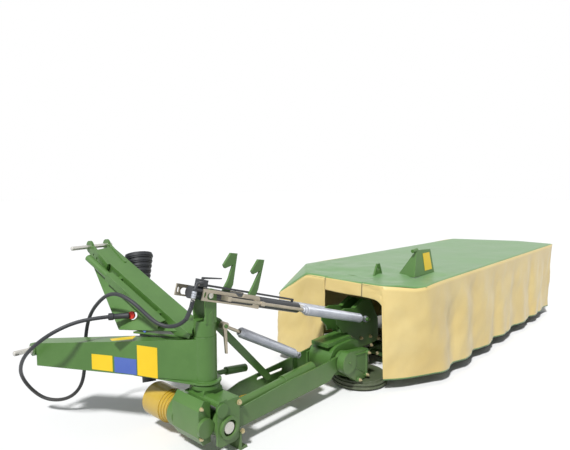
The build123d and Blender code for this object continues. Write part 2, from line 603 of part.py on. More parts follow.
# Inner shoe: ribbed round pan at the inner end
with BuildPart() as inner_shoe:
    ring_h = bar_bottom / 5
    for i, r in enumerate((168, 188, 178, 186, 174)):
        with Locations((1240, -112, ring_h * (i + 0.5))):
            Cylinder(r, ring_h)
    floor_plate([(1348, 10), (1348, 100), (1500, 100), (1500, 10)], -1, 100, Mode.SUBTRACT)

# Skids under the gear case
with BuildPart() as skids:
    for x in disc_centres:
        flat([(x - 92, 0), (x + 92, 0), (x + 104, 20), (x + 92, bar_bottom), (x - 92, bar_bottom),
              (x - 104, 20)], disc_y - skid_w / 2, disc_y + skid_w / 2)

# Discs: oval, domed in the middle, with two knives each
discs = []
for i, x in enumerate(disc_centres):
    turn = 0 if i % 2 == 0 else 90
    base = bar_top + hub_h
    with BuildPart() as disc:
        with BuildSketch(Plane.XY.offset(base)):
            with Locations(Location((x, disc_y, 0), turn)):
                SlotOverall(disc_long, disc_short)
        extrude(amount=disc_t)
        with BuildSketch(Plane.XY.offset(base + disc_t - 1)):
            with Locations((x, disc_y)):
                Circle(84)
        extrude(amount=22, taper=24)
        for half in (0, 180):
            with BuildSketch(Plane.XY.offset(base - knife_t)):
                with Locations(Location((x, disc_y, 0), turn + half)):
                    with Locations((knife_reach - knife_l / 2, 0)):
                        Rectangle(knife_l, knife_w)
            extrude(amount=knife_t)
    discs.append(disc.part)

# Deck frame: rails under the tarpaulin, cross tubes, posts and arms to the gear case
rail_z = deck_top - cloth_t - rail_r - pin_fit
frame_rear, frame_front = deck_rear + 40, deck_front_outer - 60
post_xs = [disc_first_x + share * disc_pitch for share in (0.4, 2.28, 4.35)] + [corner_x - 80]
with BuildPart() as deck_frame:
    rod((post_xs[0] - 10, frame_rear, rail_z), (deck_hem_outer - 30, frame_rear, rail_z), rail_r)
    rod((1400, frame_front, rail_z), (corner_x - 60, frame_front, rail_z), rail_r)
    for x in post_xs:
        rod((x, frame_rear, rail_z), (x, frame_front, rail_z), rail_r - 2)
        rod((x, -160, bar_bottom + 22), (x, -160, rail_z), rail_r + 3)
        flat([(x - 24, bar_bottom + 8), (x - 24, bar_bottom + 36), (x + 24, bar_bottom + 36),
              (x + 24, bar_bottom + 8)], -185, disc_y - bar_w / 2)
    rod((deck_hem_outer - 44, frame_rear, rail_z), (deck_hem_outer - 44, corner_y, rail_z), rail_r - 2)
    rod((lug_left + 20, lug_near + 6, rail_z), (post_xs[0], lug_near + 6, rail_z), rail_r - 2)
    flat([(lug_left, rail_z), (lug_right, rail_z), (lug_right, deck_top), (1494, 782), (1462, 782),
          (lug_left, deck_top)], lug_near, lug_near + 12, holes=((1477, 744, 12),))

# Tarpaulin: level main sheet with the notch for the flap, lower front inner corner
slope_x, slope_y = 1480, 330
sheet = [(rear_cut_x, deck_rear), (deck_outer, deck_rear), (deck_outer, corner_y), (corner_x, deck_front_outer),
         (slope_x, deck_front - 22), (deck_inner, slope_y),
         (deck_inner, flap_y), (flap_x, flap_y), (flap_x, -flap_y), (deck_inner, -flap_y),
         (deck_inner, rear_cut_y)]
with BuildPart() as deck_cover:
    floor_plate(sheet, deck_top - cloth_t, cloth_t)
    panel([(deck_inner, slope_y, deck_top), (deck_inner, deck_front, 520), (slope_x, deck_front - 22, deck_top)],
          cloth_t)
    flat([(lug_left - 4, 640), (lug_right + 4, 640), (lug_right + 4, 760), (lug_left - 4, 760)],
         lug_near - 2, lug_near + 14, mode=Mode.SUBTRACT)

# Soft flap over the upper link's opening, hinged on the deck
with BuildPart() as guard_flap:
    flap_side = flap_y - flap_gap
    flap_hinge_x = flap_x - pin_fit
    flat([(deck_inner, deck_top - cloth_t), (deck_inner, deck_top), (flap_hinge_x, deck_top),
          (flap_hinge_x - 0.5 * cloth_t, deck_top - cloth_t)], -flap_side, flap_side)
    flat([(deck_inner, arch_top), (deck_inner, deck_top), (deck_inner + cloth_t, deck_top),
          (deck_inner + cloth_t, arch_top)], -flap_side, flap_side)

# Curtains: rear, front, inner and outer
with BuildPart() as curtain_rear:
    flat([(rear_cut_x, hem), (rear_cut_x, deck_top - cloth_t), (deck_outer - 8, deck_top - cloth_t),
          (deck_hem_outer, hem)], deck_rear, deck_rear + cloth_t)
with BuildPart() as curtain_front:
    panel([(deck_inner + 60, deck_front, hem), (corner_x, deck_front_outer, hem),
           (corner_x, deck_front_outer, deck_top - cloth_t), (slope_x, deck_front - 20, deck_top - cloth_t)],
          -cloth_t)
with BuildPart() as curtain_inner:
    top = deck_top - cloth_t
    with BuildSketch(Plane.YZ.offset(deck_inner)):
        with BuildLine():
            Polyline((arch_front + 10, 128), (arch_front + 10, arch_top), (arch_front + 10, top),
                     (slope_y, top), (deck_front, 510), (deck_front, hem), (250, hem), (250, 128), close=True)
        make_face()
    extrude(amount=cloth_t)
    with BuildSketch(Plane.YZ.offset(deck_inner)):
        with BuildLine():
            Polyline((rear_cut_y, arch_top), (rear_cut_y, top), (-flap_y - 2, top), (-flap_y - 2, arch_top),
                     (-flap_y - 60, arch_top), close=True)
        make_face()
    extrude(amount=cloth_t)
    panel([(deck_inner, rear_cut_y, hem), (rear_cut_x, deck_rear, hem), (rear_cut_x, deck_rear, top),
           (deck_inner, rear_cut_y, top)], cloth_t)
with BuildPart() as curtain_outer:
    top = deck_top - cloth_t - 0.8   # the leaning panel's upper edge stays below the tarpaulin
    panel([(deck_outer - 10, deck_rear + 20, top), (deck_outer - 10, corner_y, top),
           (deck_hem_outer, corner_y, hem), (deck_hem_outer, deck_rear + 20, hem)], cloth_t)
    panel([(deck_hem_outer, corner_y, hem), (deck_hem_outer, corner_y, top), (corner_x, deck_front_outer, top),
           (corner_x, deck_front_outer, hem)], -cloth_t)

# Fold stop on top of the deck
with BuildPart() as fold_stop:
    panel([(1560, -330, deck_top), (1850, -330, deck_top), (1838, -300, 868), (1640, -300, 880)], 8)
    panel([(1560, -330, deck_top), (1640, -300, 880), (1620, -180, deck_top)], -8)
    rod((1600, -296, 876), (1660, -296, 880), 13)
    floor_plate([(1400, -600), (1400, 0), (2000, 0), (2000, -600)], deck_top - 50, 50, Mode.SUBTRACT)

# Hydraulic hose: from the valve round the mast's foot, down to the ground and up to its coupler
hose_r = 10
hose_run = [Vector(*p) for p in (
    (-137, 1, 682), (-150, 48, 657), (-170, 94, 650),
    (-198, 143, 666), (-222, 196, 706), (-248, 246, 752), (-270, 304, 784), (-286, 374, 796),
    (-291, 460, 774), (-292, 545, 724), (-290, 634, 655), (-286, 700, 572), (-284, 741, 450),
    (-285, 752, 300), (-296, 778, 186), (-332, 835, 112), (-384, 915, 82), (-440, 985, 97),
    (-500, 1012, 170), (-560, 962, 272), (-602, 850, 372), (-620, 726, 468), (-600, 620, 548),
    (-545, 558, 606), (-462, 520, 643), (-380, 477, 660), (-300, 433, 663))]
hose_radii = []
for before, at, after in zip(hose_run, hose_run[1:], hose_run[2:]):
    turn = radians((at - before).get_angle(after - at))
    hose_radii.append(0.45 * min((at - before).length, (after - at).length) / tan(turn / 2))
with BuildPart() as hydraulic_hose:
    with BuildLine() as route:
        FilletPolyline(*hose_run, radius=hose_radii)
    with BuildSketch(Plane(origin=hose_run[0], z_dir=hose_run[1] - hose_run[0])):
        Circle(hose_r)
    sweep()
hose_length = sum(edge.length for edge in route.edges())
print("hose length", round(hose_length), "radii", [round(r) for r in hose_radii],
      "volume over section", round(hydraulic_hose.part.volume / (pi * hose_r ** 2)))

# Grip of the hose, pushed into its parking hole on the mast
last_run = (hose_run[-1] - hose_run[-2]).normalized()
with BuildPart() as hose_grip:
    rod(hose_run[-1], hose_run[-1] + last_run * 26, 19)
    rod(hose_run[-1] + last_run * 20, (-204, 384, 660), 15)

pieces = {
    "headstock_frame": headstock_frame.part, "mast": mast.part,
    "lower_link_pins": lower_link_pins.part,
    "top_link_pin": top_link_pin.part, "stowed_stand": stowed_stand.part,
    "hose_grip": hose_grip.part, "hydraulic_hose": hydraulic_hose.part,
    "drive_shaft": drive_shaft.part, "column": column.part, "hinge_block": hinge_block.part,
    "input_housing": input_housing.part,
    "input_shaft": input_shaft.part, "pto_guard": pto_guard.part,
    "link_pin": link_pin.part,
    "lift_cylinder": lift_cylinder.part, "outer_rod": outer_rod.part, "lift_rod": lift_rod.part,
    "transport_hooks": transport_hooks.part, "shut_off_valve": shut_off_valve.part,
    "link_plates": link_plates.part, "upper_springs": upper_springs.part,
    "stay_bar": stay_bar.part, "spring_spindle": spring_spindle.part,
    "lower_relief_spring": lower_relief_spring.part, "beam": beam.part,
    "gearbox": gearbox.part, "shoe_bracket": shoe_bracket.part,
    "inner_shoe": inner_shoe.part, "cutter_bar": cutter_bar.part, "skids": skids.part,
    "deck_frame": deck_frame.part, "deck_cover": deck_cover.part, "guard_flap": guard_flap.part,
    "curtain_rear": curtain_rear.part, "curtain_front": curtain_front.part,
    "curtain_inner": curtain_inner.part, "curtain_outer": curtain_outer.part,
    "fold_stop": fold_stop.part,
}
for i, part in enumerate(discs):
    pieces["disc_%d" % (i + 1)] = part

# The origin ends up under the middle of the whole mower, on the ground
solid_names = [name for name in pieces if name != "hydraulic_hose"]
low = [min(getattr(pieces[name].bounding_box().min, axis) for name in solid_names) for axis in "XYZ"]
high = [max(getattr(pieces[name].bounding_box().max, axis) for name in solid_names) for axis in "XYZ"]
home = Vector(-(low[0] + high[0]) / 2, -(low[1] + high[1]) / 2, -low[2])

os.makedirs("parts", exist_ok=True)
for name, part in pieces.items():
    placed = part.moved(Location(home))
    placed.label = name
    export_step(placed, "parts/%s.step" % name)
print("home", [round(v, 3) for v in tuple(home)], "size", [round(b - a, 1) for a, b in zip(low, high)])
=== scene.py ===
import bpy
import bmesh
import json
import math
from mathutils import Matrix, Vector, noise


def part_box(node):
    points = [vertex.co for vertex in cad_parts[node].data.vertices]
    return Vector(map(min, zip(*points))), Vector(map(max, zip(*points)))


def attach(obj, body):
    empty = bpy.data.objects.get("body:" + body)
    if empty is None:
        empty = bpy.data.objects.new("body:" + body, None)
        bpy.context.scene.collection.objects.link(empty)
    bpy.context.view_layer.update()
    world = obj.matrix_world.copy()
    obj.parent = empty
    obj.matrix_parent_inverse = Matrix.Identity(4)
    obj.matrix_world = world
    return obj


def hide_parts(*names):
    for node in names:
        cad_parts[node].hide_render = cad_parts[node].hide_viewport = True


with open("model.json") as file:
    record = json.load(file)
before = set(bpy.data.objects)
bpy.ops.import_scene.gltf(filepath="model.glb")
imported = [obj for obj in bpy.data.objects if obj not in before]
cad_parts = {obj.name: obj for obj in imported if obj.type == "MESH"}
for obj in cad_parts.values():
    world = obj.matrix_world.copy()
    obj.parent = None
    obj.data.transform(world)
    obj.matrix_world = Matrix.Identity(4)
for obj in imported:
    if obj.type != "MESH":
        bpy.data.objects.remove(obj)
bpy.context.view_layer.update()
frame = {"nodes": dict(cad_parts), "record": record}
nodes = frame["nodes"]
print("frame loaded,", len(nodes), "nodes")

# The part is drawn in millimetres from the swing column, whose trunnion pins stand over its axis
pinLow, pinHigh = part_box("link_pin")
home = Vector(((pinLow.x + pinHigh.x) / 2, (pinLow.y + pinHigh.y) / 2, 0))


def spot(x, y, z):
    return Vector((x, y, z)) / 1000 + home


# Camera of the photograph
viewPoint = {"place": (-1642, -2077, 1420), "turn": 42.7, "dip": 5.71, "lens": 32.84}


def setCamera(settings):
    data = bpy.data.cameras.new("photoCamera")
    data.lens = settings["lens"]
    data.sensor_width = 36
    data.clip_end = 60
    camera = bpy.data.objects.new("photoCamera", data)
    camera.location = spot(*settings["place"])
    turn = math.radians(settings["turn"])
    dip = math.radians(settings["dip"])
    look = Vector((math.cos(turn) * math.cos(dip), math.sin(turn) * math.cos(dip), -math.sin(dip)))
    camera.rotation_mode = "QUATERNION"
    camera.rotation_quaternion = look.to_track_quat("-Z", "Y")
    bpy.context.scene.collection.objects.link(camera)
    bpy.context.scene.camera = camera


setCamera(viewPoint)


# Node and material helpers
def addNode(tree, kind, **values):
    node = tree.nodes.new(kind)
    for name, value in values.items():
        if hasattr(node, name):
            setattr(node, name, value)
        else:  # sockets are named in words
            node.inputs[name.replace("_", " ")].default_value = value
    return node


def wire(tree, source, target):
    tree.links.new(source, target)


def newGroup(name, inputs, outputs):
    group = bpy.data.node_groups.new(name, "ShaderNodeTree")
    for label, kind, value in inputs:
        socket = group.interface.new_socket(label, in_out="INPUT", socket_type=kind)
        socket.default_value = value
    for label, kind in outputs:
        group.interface.new_socket(label, in_out="OUTPUT", socket_type=kind)
    return group, addNode(group, "NodeGroupInput"), addNode(group, "NodeGroupOutput")


# Slow drift between two colours, as sun and rain leave on paint and cloth
mottle, inner, outer = newGroup(
    "mottle",
    [("Fresh", "NodeSocketColor", (0.5, 0.5, 0.5, 1)), ("Faded", "NodeSocketColor", (0.6, 0.6, 0.6, 1)),
     ("Scale", "NodeSocketFloat", 4.0)],
    [("Colour", "NodeSocketColor"), ("Mask", "NodeSocketFloat")])
place = addNode(mottle, "ShaderNodeTexCoord")
cloud = addNode(mottle, "ShaderNodeTexNoise", Detail=6.0, Roughness=0.6)
spread = addNode(mottle, "ShaderNodeMapRange", From_Min=0.35, From_Max=0.7)
blendColour = addNode(mottle, "ShaderNodeMix", data_type="RGBA")
wire(mottle, place.outputs["Object"], cloud.inputs["Vector"])
wire(mottle, inner.outputs["Scale"], cloud.inputs["Scale"])
wire(mottle, cloud.outputs["Fac"], spread.inputs["Value"])
wire(mottle, spread.outputs["Result"], blendColour.inputs[0])
wire(mottle, inner.outputs["Fresh"], blendColour.inputs[6])
wire(mottle, inner.outputs["Faded"], blendColour.inputs[7])
wire(mottle, blendColour.outputs[2], outer.inputs["Colour"])
wire(mottle, spread.outputs["Result"], outer.inputs["Mask"])

# Rounded edges and a mask along them for rubbed paint
softEdge, inner, outer = newGroup(
    "softEdge",
    [("Radius", "NodeSocketFloat", 0.003), ("Rub", "NodeSocketFloat", 0.5)],
    [("Normal", "NodeSocketVector"), ("Mask", "NodeSocketFloat")])
rounded = addNode(softEdge, "ShaderNodeBevel", samples=4)
flatNormal = addNode(softEdge, "ShaderNodeNewGeometry")
facing = addNode(softEdge, "ShaderNodeVectorMath", operation="DOT_PRODUCT")
turned = addNode(softEdge, "ShaderNodeMapRange", From_Min=0.98, From_Max=0.75)
place = addNode(softEdge, "ShaderNodeTexCoord")
chips = addNode(softEdge, "ShaderNodeTexNoise", Scale=55.0, Detail=5.0)
broken = addNode(softEdge, "ShaderNodeMapRange", From_Min=0.5, From_Max=0.62)
both = addNode(softEdge, "ShaderNodeMath", operation="MULTIPLY")
amount = addNode(softEdge, "ShaderNodeMath", operation="MULTIPLY")
wire(softEdge, inner.outputs["Radius"], rounded.inputs["Radius"])
wire(softEdge, rounded.outputs["Normal"], facing.inputs[0])
wire(softEdge, flatNormal.outputs["Normal"], facing.inputs[1])
wire(softEdge, facing.outputs["Value"], turned.inputs["Value"])
wire(softEdge, place.outputs["Object"], chips.inputs["Vector"])
wire(softEdge, chips.outputs["Fac"], broken.inputs["Value"])
wire(softEdge, turned.outputs["Result"], both.inputs[0])
wire(softEdge, broken.outputs["Result"], both.inputs[1])
wire(softEdge, both.outputs["Value"], amount.inputs[0])
wire(softEdge, inner.outputs["Rub"], amount.inputs[1])
wire(softEdge, rounded.outputs["Normal"], outer.inputs["Normal"])
wire(softEdge, amount.outputs["Value"], outer.inputs["Mask"])

# Fine relief: sprayed paint, moulded rubber or cast iron, by scale
grain, inner, outer = newGroup(
    "grain",
    [("Scale", "NodeSocketFloat", 300.0), ("Depth", "NodeSocketFloat", 1.0)],
    [("Height", "NodeSocketFloat")])
place = addNode(grain, "ShaderNodeTexCoord")
speck = addNode(grain, "ShaderNodeTexNoise", Detail=3.0)
deep = addNode(grain, "ShaderNodeMath", operation="MULTIPLY")
wire(grain, place.outputs["Object"], speck.inputs["Vector"])
wire(grain, inner.outputs["Scale"], speck.inputs["Scale"])
wire(grain, speck.outputs["Fac"], deep.inputs[0])
wire(grain, inner.outputs["Depth"], deep.inputs[1])
wire(grain, deep.outputs["Value"], outer.inputs["Height"])

# Threads of the coated cloth, by the piece's own UV map in metres
weave, inner, outer = newGroup(
    "weave", [("Threads", "NodeSocketFloat", 400.0)], [("Height", "NodeSocketFloat")])
place = addNode(weave, "ShaderNodeTexCoord")
warp = addNode(weave, "ShaderNodeTexWave", bands_direction="X", Distortion=0.6)
weft = addNode(weave, "ShaderNodeTexWave", bands_direction="Y", Distortion=0.6)
crossing = addNode(weave, "ShaderNodeMath", operation="MAXIMUM")
for thread in (warp, weft):
    wire(weave, place.outputs["UV"], thread.inputs["Vector"])
    wire(weave, inner.outputs["Threads"], thread.inputs["Scale"])
wire(weave, warp.outputs["Fac"], crossing.inputs[0])
wire(weave, weft.outputs["Fac"], crossing.inputs[1])
wire(weave, crossing.outputs["Value"], outer.inputs["Height"])

# Dust that lies near the ground
lowDust, inner, outer = newGroup(
    "lowDust", [("Top", "NodeSocketFloat", 0.25), ("Amount", "NodeSocketFloat", 0.4)],
    [("Mask", "NodeSocketFloat")])
place = addNode(lowDust, "ShaderNodeTexCoord")
axes = addNode(lowDust, "ShaderNodeSeparateXYZ")
fall = addNode(lowDust, "ShaderNodeMapRange", From_Max=0.0)
patch = addNode(lowDust, "ShaderNodeTexNoise", Scale=9.0, Detail=6.0)
share = addNode(lowDust, "ShaderNodeMath", operation="MULTIPLY")
level = addNode(lowDust, "ShaderNodeMath", operation="MULTIPLY")
wire(lowDust, place.outputs["Object"], axes.inputs["Vector"])
wire(lowDust, axes.outputs["Z"], fall.inputs["Value"])
wire(lowDust, inner.outputs["Top"], fall.inputs["From Min"])
wire(lowDust, place.outputs["Object"], patch.inputs["Vector"])
wire(lowDust, fall.outputs["Result"], share.inputs[0])
wire(lowDust, patch.outputs["Fac"], share.inputs[1])
wire(lowDust, share.outputs["Value"], level.inputs[0])
wire(lowDust, inner.outputs["Amount"], level.inputs[1])
wire(lowDust, level.outputs["Value"], outer.inputs["Mask"])


def useGroup(tree, group, **values):
    node = addNode(tree, "ShaderNodeGroup", node_tree=group)
    for name, value in values.items():
        node.inputs[name].default_value = value
    return node


# Looks that a hard finish has unless its own settings say otherwise
hardLook = {
    "patches": 5.0, "edge": 0.003, "rub": 0.4, "bare": (0.42, 0.42, 0.4), "dustTop": 0.3, "dust": 0.3,
    "grain": 260.0, "bump": 0.08}
dustTints = {"metal": (0.36, 0.32, 0.25, 1), "cloth": (0.46, 0.36, 0.2, 1)}


def metalLook(name, fresh, faded, own):
    settings = {**hardLook, **own}
    material = bpy.data.materials.new(name)
    material.use_nodes = True
    tree = material.node_tree
    shader = tree.nodes["Principled BSDF"]
    for label in ("Metallic", "Coat Weight", "Coat Roughness"):
        if label in settings:
            shader.inputs[label].default_value = settings[label]
    colours = useGroup(tree, mottle, Fresh=(*fresh, 1), Faded=(*faded, 1), Scale=settings["patches"])
    edge = useGroup(tree, softEdge, Radius=settings["edge"], Rub=settings["rub"])
    dust = useGroup(tree, lowDust, Top=settings["dustTop"], Amount=settings["dust"])
    rub = addNode(tree, "ShaderNodeMix", data_type="RGBA")
    rub.inputs[7].default_value = (*settings["bare"], 1)
    dusty = addNode(tree, "ShaderNodeMix", data_type="RGBA")
    dusty.inputs[7].default_value = dustTints["metal"]
    wire(tree, colours.outputs["Colour"], rub.inputs[6])
    wire(tree, edge.outputs["Mask"], rub.inputs[0])
    wire(tree, rub.outputs[2], dusty.inputs[6])
    wire(tree, dust.outputs["Mask"], dusty.inputs[0])
    wire(tree, dusty.outputs[2], shader.inputs["Base Color"])
    rough = addNode(tree, "ShaderNodeMapRange", To_Min=settings["rough"][0], To_Max=settings["rough"][1])
    wire(tree, colours.outputs["Mask"], rough.inputs["Value"])
    wire(tree, rough.outputs["Result"], shader.inputs["Roughness"])
    relief = useGroup(tree, grain, Scale=settings["grain"], Depth=1.0)
    bump = addNode(tree, "ShaderNodeBump", Strength=settings["bump"], Distance=0.001)
    wire(tree, relief.outputs["Height"], bump.inputs["Height"])
    wire(tree, edge.outputs["Normal"], bump.inputs["Normal"])
    wire(tree, bump.outputs["Normal"], shader.inputs["Normal"])
    return material


def clothLook(name, fresh, faded, settings):
    material = bpy.data.materials.new(name)
    material.use_nodes = True
    tree = material.node_tree
    shader = tree.nodes["Principled BSDF"]
    shader.inputs["Sheen Weight"].default_value = settings["sheen"]
    shader.inputs["Sheen Roughness"].default_value = 0.5
    shader.inputs["Coat Weight"].default_value = settings["coat"]
    shader.inputs["Coat Roughness"].default_value = 0.35
    colours = useGroup(tree, mottle, Fresh=(*fresh, 1), Faded=(*faded, 1), Scale=settings["patches"])
    dust = useGroup(tree, lowDust, Top=settings["dustTop"], Amount=settings["dust"])
    dusty = addNode(tree, "ShaderNodeMix", data_type="RGBA")
    dusty.inputs[7].default_value = dustTints["cloth"]
    wire(tree, colours.outputs["Colour"], dusty.inputs[6])
    wire(tree, dust.outputs["Mask"], dusty.inputs[0])
    wire(tree, dusty.outputs[2], shader.inputs["Base Color"])
    rough = addNode(tree, "ShaderNodeMapRange", To_Min=settings["rough"][0], To_Max=settings["rough"][1])
    wire(tree, colours.outputs["Mask"], rough.inputs["Value"])
    wire(tree, rough.outputs["Result"], shader.inputs["Roughness"])
    threads = useGroup(tree, weave, Threads=settings["threads"])
    dimples = useGroup(tree, grain, Scale=settings["dimples"], Depth=6.0)
    both = addNode(tree, "ShaderNodeMath", operation="ADD")
    bump = addNode(tree, "ShaderNodeBump", Strength=settings["bump"], Distance=0.001)
    wire(tree, threads.outputs["Height"], both.inputs[0])
    wire(tree, dimples.outputs["Height"], both.inputs[1])
    wire(tree, both.outputs["Value"], bump.inputs["Height"])
    wire(tree, bump.outputs["Normal"], shader.inputs["Normal"])
    return material


greenPaint = metalLook("greenPaint", (0.070, 0.175, 0.032), (0.095, 0.215, 0.048), {
    "rough": (0.34, 0.48), "Coat Weight": 0.1, "Coat Roughness": 0.2, "rub": 0.35, "dust": 0.35})
shoePaint = metalLook("shoePaint", (0.032, 0.066, 0.022), (0.06, 0.10, 0.04), {
    "rough": (0.45, 0.6), "rub": 0.8, "dust": 0.5})
zincPlate = metalLook("zincPlate", (0.40, 0.36, 0.28), (0.52, 0.46, 0.36), {
    "Metallic": 0.75, "rough": (0.3, 0.5), "patches": 22.0, "rub": 0.5, "bare": (0.7, 0.68, 0.62),
    "edge": 0.002})
brightSteel = metalLook("brightSteel", (0.56, 0.55, 0.52), (0.68, 0.66, 0.6), {
    "Metallic": 0.9, "rough": (0.22, 0.4), "patches": 30.0, "edge": 0.002, "rub": 0.2})
springSteel = metalLook("springSteel", (0.42, 0.44, 0.49), (0.54, 0.56, 0.6), {
    "Metallic": 0.45, "rough": (0.35, 0.5), "patches": 18.0, "edge": 0.001, "rub": 0.2})
yellowZinc = metalLook("yellowZinc", (0.56, 0.46, 0.24), (0.66, 0.58, 0.38), {
    "Metallic": 0.7, "rough": (0.28, 0.45), "patches": 30.0, "edge": 0.002, "rub": 0.2})
blackPaint = metalLook("blackPaint", (0.018, 0.021, 0.026), (0.035, 0.04, 0.045), {
    "rough": (0.28, 0.42), "Coat Weight": 0.3, "Coat Roughness": 0.2, "rub": 0.25, "dust": 0.2})
blackRubber = metalLook("blackRubber", (0.014, 0.016, 0.02), (0.03, 0.033, 0.038), {
    "rough": (0.45, 0.6), "rub": 0.0, "grain": 500.0, "bump": 0.25, "dust": 0.3})
discSteel = metalLook("discSteel", (0.2, 0.19, 0.18), (0.3, 0.28, 0.25), {
    "Metallic": 0.7, "rough": (0.4, 0.6), "patches": 14.0, "dust": 0.4})
yellowPlastic = metalLook("yellowPlastic", (0.56, 0.36, 0.022), (0.64, 0.43, 0.05), {
    "rough": (0.32, 0.45), "Coat Weight": 0.2, "rub": 0.15, "bare": (0.7, 0.55, 0.15), "dust": 0.5})
redPlastic = metalLook("redPlastic", (0.6, 0.03, 0.02), (0.7, 0.06, 0.04), {
    "rough": (0.35, 0.5), "rub": 0.0})
yellowPlate = metalLook("yellowPlate", (0.9, 0.6, 0.01), (0.95, 0.66, 0.02), {
    "rough": (0.3, 0.4), "rub": 0.0, "bump": 0.02, "edge": 0.0005})
bluePlate = metalLook("bluePlate", (0.07, 0.13, 0.47), (0.1, 0.17, 0.52), {
    "rough": (0.3, 0.4), "rub": 0.0, "bump": 0.02, "edge": 0.0005})
greenCloth = clothLook("greenCloth", (0.115, 0.27, 0.075), (0.155, 0.33, 0.11), {
    "sheen": 0.25, "coat": 0.25, "patches": 2.2, "rough": (0.4, 0.55), "threads": 260.0, "dimples": 60.0,
    "bump": 0.12, "dust": 0.0, "dustTop": 0.1})
beigeCloth = clothLook("beigeCloth", (0.76, 0.57, 0.21), (0.83, 0.66, 0.29), {
    "sheen": 0.2, "coat": 0.15, "patches": 2.6, "rough": (0.45, 0.6), "threads": 260.0, "dimples": 60.0,
    "bump": 0.12, "dust": 0.25, "dustTop": 0.4})
print("materials made")

cadLooks = {
    "green_paint": greenPaint, "green_tarpaulin": greenCloth, "beige_curtain": beigeCloth,
    "zinc_plate": zincPlate, "spring_grey": springSteel, "bright_steel": brightSteel,
    "black_paint": blackPaint, "black_rubber": blackRubber, "yellow_plastic": yellowPlastic,
    "disc_steel": discSteel, "skid_steel": discSteel}
for part in frame["record"]["subparts"]:
    mesh = nodes[part["node"]].data
    mesh.materials.clear()
    mesh.materials.append(cadLooks[part["material_slot"]])

nodes["inner_shoe"].data.materials[0] = shoePaint


# Mesh helpers: every bmesh is in metres in the part's own place
def newPiece(name, bm, body, looks, sharp=35):
    mesh = bpy.data.meshes.new(name)
    bm.to_mesh(mesh)
    bm.free()
    for look in looks:
        mesh.materials.append(look)
    mesh.shade_smooth()
    mesh.set_sharp_from_angle(angle=math.radians(sharp))
    piece = bpy.data.objects.new(name, mesh)
    bpy.context.scene.collection.objects.link(piece)
    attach(piece, body)
    return piece


def aimed(start, axis):
    return Matrix.Translation(start) @ Vector(axis).to_track_quat("Z", "Y").to_matrix().to_4x4()


def addRod(bm, start, end, radius, farRadius=None, segments=20):
    run = end - start
    bmesh.ops.create_cone(
        bm, cap_ends=True, segments=segments, radius1=radius,
        radius2=radius if farRadius is None else farRadius, depth=run.length,
        matrix=aimed((start + end) / 2, run))


def latheMesh(rings, start, axis, segments=32):
    turned = bmesh.new()
    made = [turned.verts.new((radius / 1000, 0, height / 1000)) for radius, height in rings]
    lines = [turned.edges.new(pair) for pair in zip(made, made[1:])]
    bmesh.ops.spin(turned, geom=made + lines, cent=(0, 0, 0), axis=(0, 0, 1), dvec=(0, 0, 0),
                   angle=math.tau, steps=segments, use_merge=True)
    bmesh.ops.remove_doubles(turned, verts=turned.verts, dist=1e-5)
    bmesh.ops.recalc_face_normals(turned, faces=turned.faces)
    turned.transform(aimed(start, axis))
    return turned


def joinInto(bm, other):
    mesh = bpy.data.meshes.new("joining")
    other.to_mesh(mesh)
    other.free()
    bm.from_mesh(mesh)
    bpy.data.meshes.remove(mesh)


# Washer, head and thread end of a bolt, in metres and in shares of the width across flats
bolt = {"washer": 0.0025, "seat": 0.0023, "head": 0.009, "end": 0.014,
        "washerWide": 0.00062, "headWide": 0.00055, "headTop": 0.0005, "threadWide": 0.00028}


def addBolt(bm, at, axis, across):
    direction = Vector(axis).normalized()
    addRod(bm, at, at + direction * bolt["washer"], across * bolt["washerWide"])
    base = at + direction * bolt["seat"]
    addRod(bm, base, base + direction * bolt["head"], across * bolt["headWide"], across * bolt["headTop"],
           segments=6)
    addRod(bm, base, base + direction * bolt["end"], across * bolt["threadWide"], segments=10)


# Hydraulic hose: its route repeats the part's own points
hose = {
    "radius": 0.010, "length": 2.60,
    "route": [
        (-131, -18, 702), (-137, 1, 682), (-150, 48, 657), (-170, 94, 650),
        (-198, 143, 666), (-222, 196, 706), (-248, 246, 752), (-270, 304, 784), (-286, 374, 796),
        (-291, 460, 774), (-292, 545, 724), (-290, 634, 655), (-286, 700, 572), (-284, 741, 450),
        (-285, 752, 300), (-296, 778, 186), (-332, 835, 112), (-384, 915, 82), (-440, 985, 97),
        (-500, 1012, 170), (-560, 962, 272), (-602, 850, 372), (-620, 726, 468), (-600, 620, 548),
        (-545, 558, 606), (-462, 520, 643), (-380, 477, 660), (-300, 433, 663)]}


def newLine(name, points, radius, resolution, steps):
    line = bpy.data.curves.new(name, "CURVE")
    line.dimensions = "3D"
    line.bevel_depth = radius
    line.bevel_resolution = resolution
    line.resolution_u = steps
    line.use_fill_caps = True
    spline = line.splines.new("NURBS")
    spline.points.add(len(points) - 1)
    for point, place in zip(spline.points, points):
        point.co = (*spot(*place), 1)
    spline.order_u = 3
    spline.use_endpoint_u = True
    piece = bpy.data.objects.new(name, line)
    bpy.context.scene.collection.objects.link(piece)
    return piece


def makeHose(settings):
    piece = newLine("hydraulicHose", settings["route"], settings["radius"], 5, 10)
    piece.data.materials.append(blackRubber)
    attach(piece, "headstock")
    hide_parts("hydraulic_hose")
    return piece


hydraulicHose = makeHose(hose)

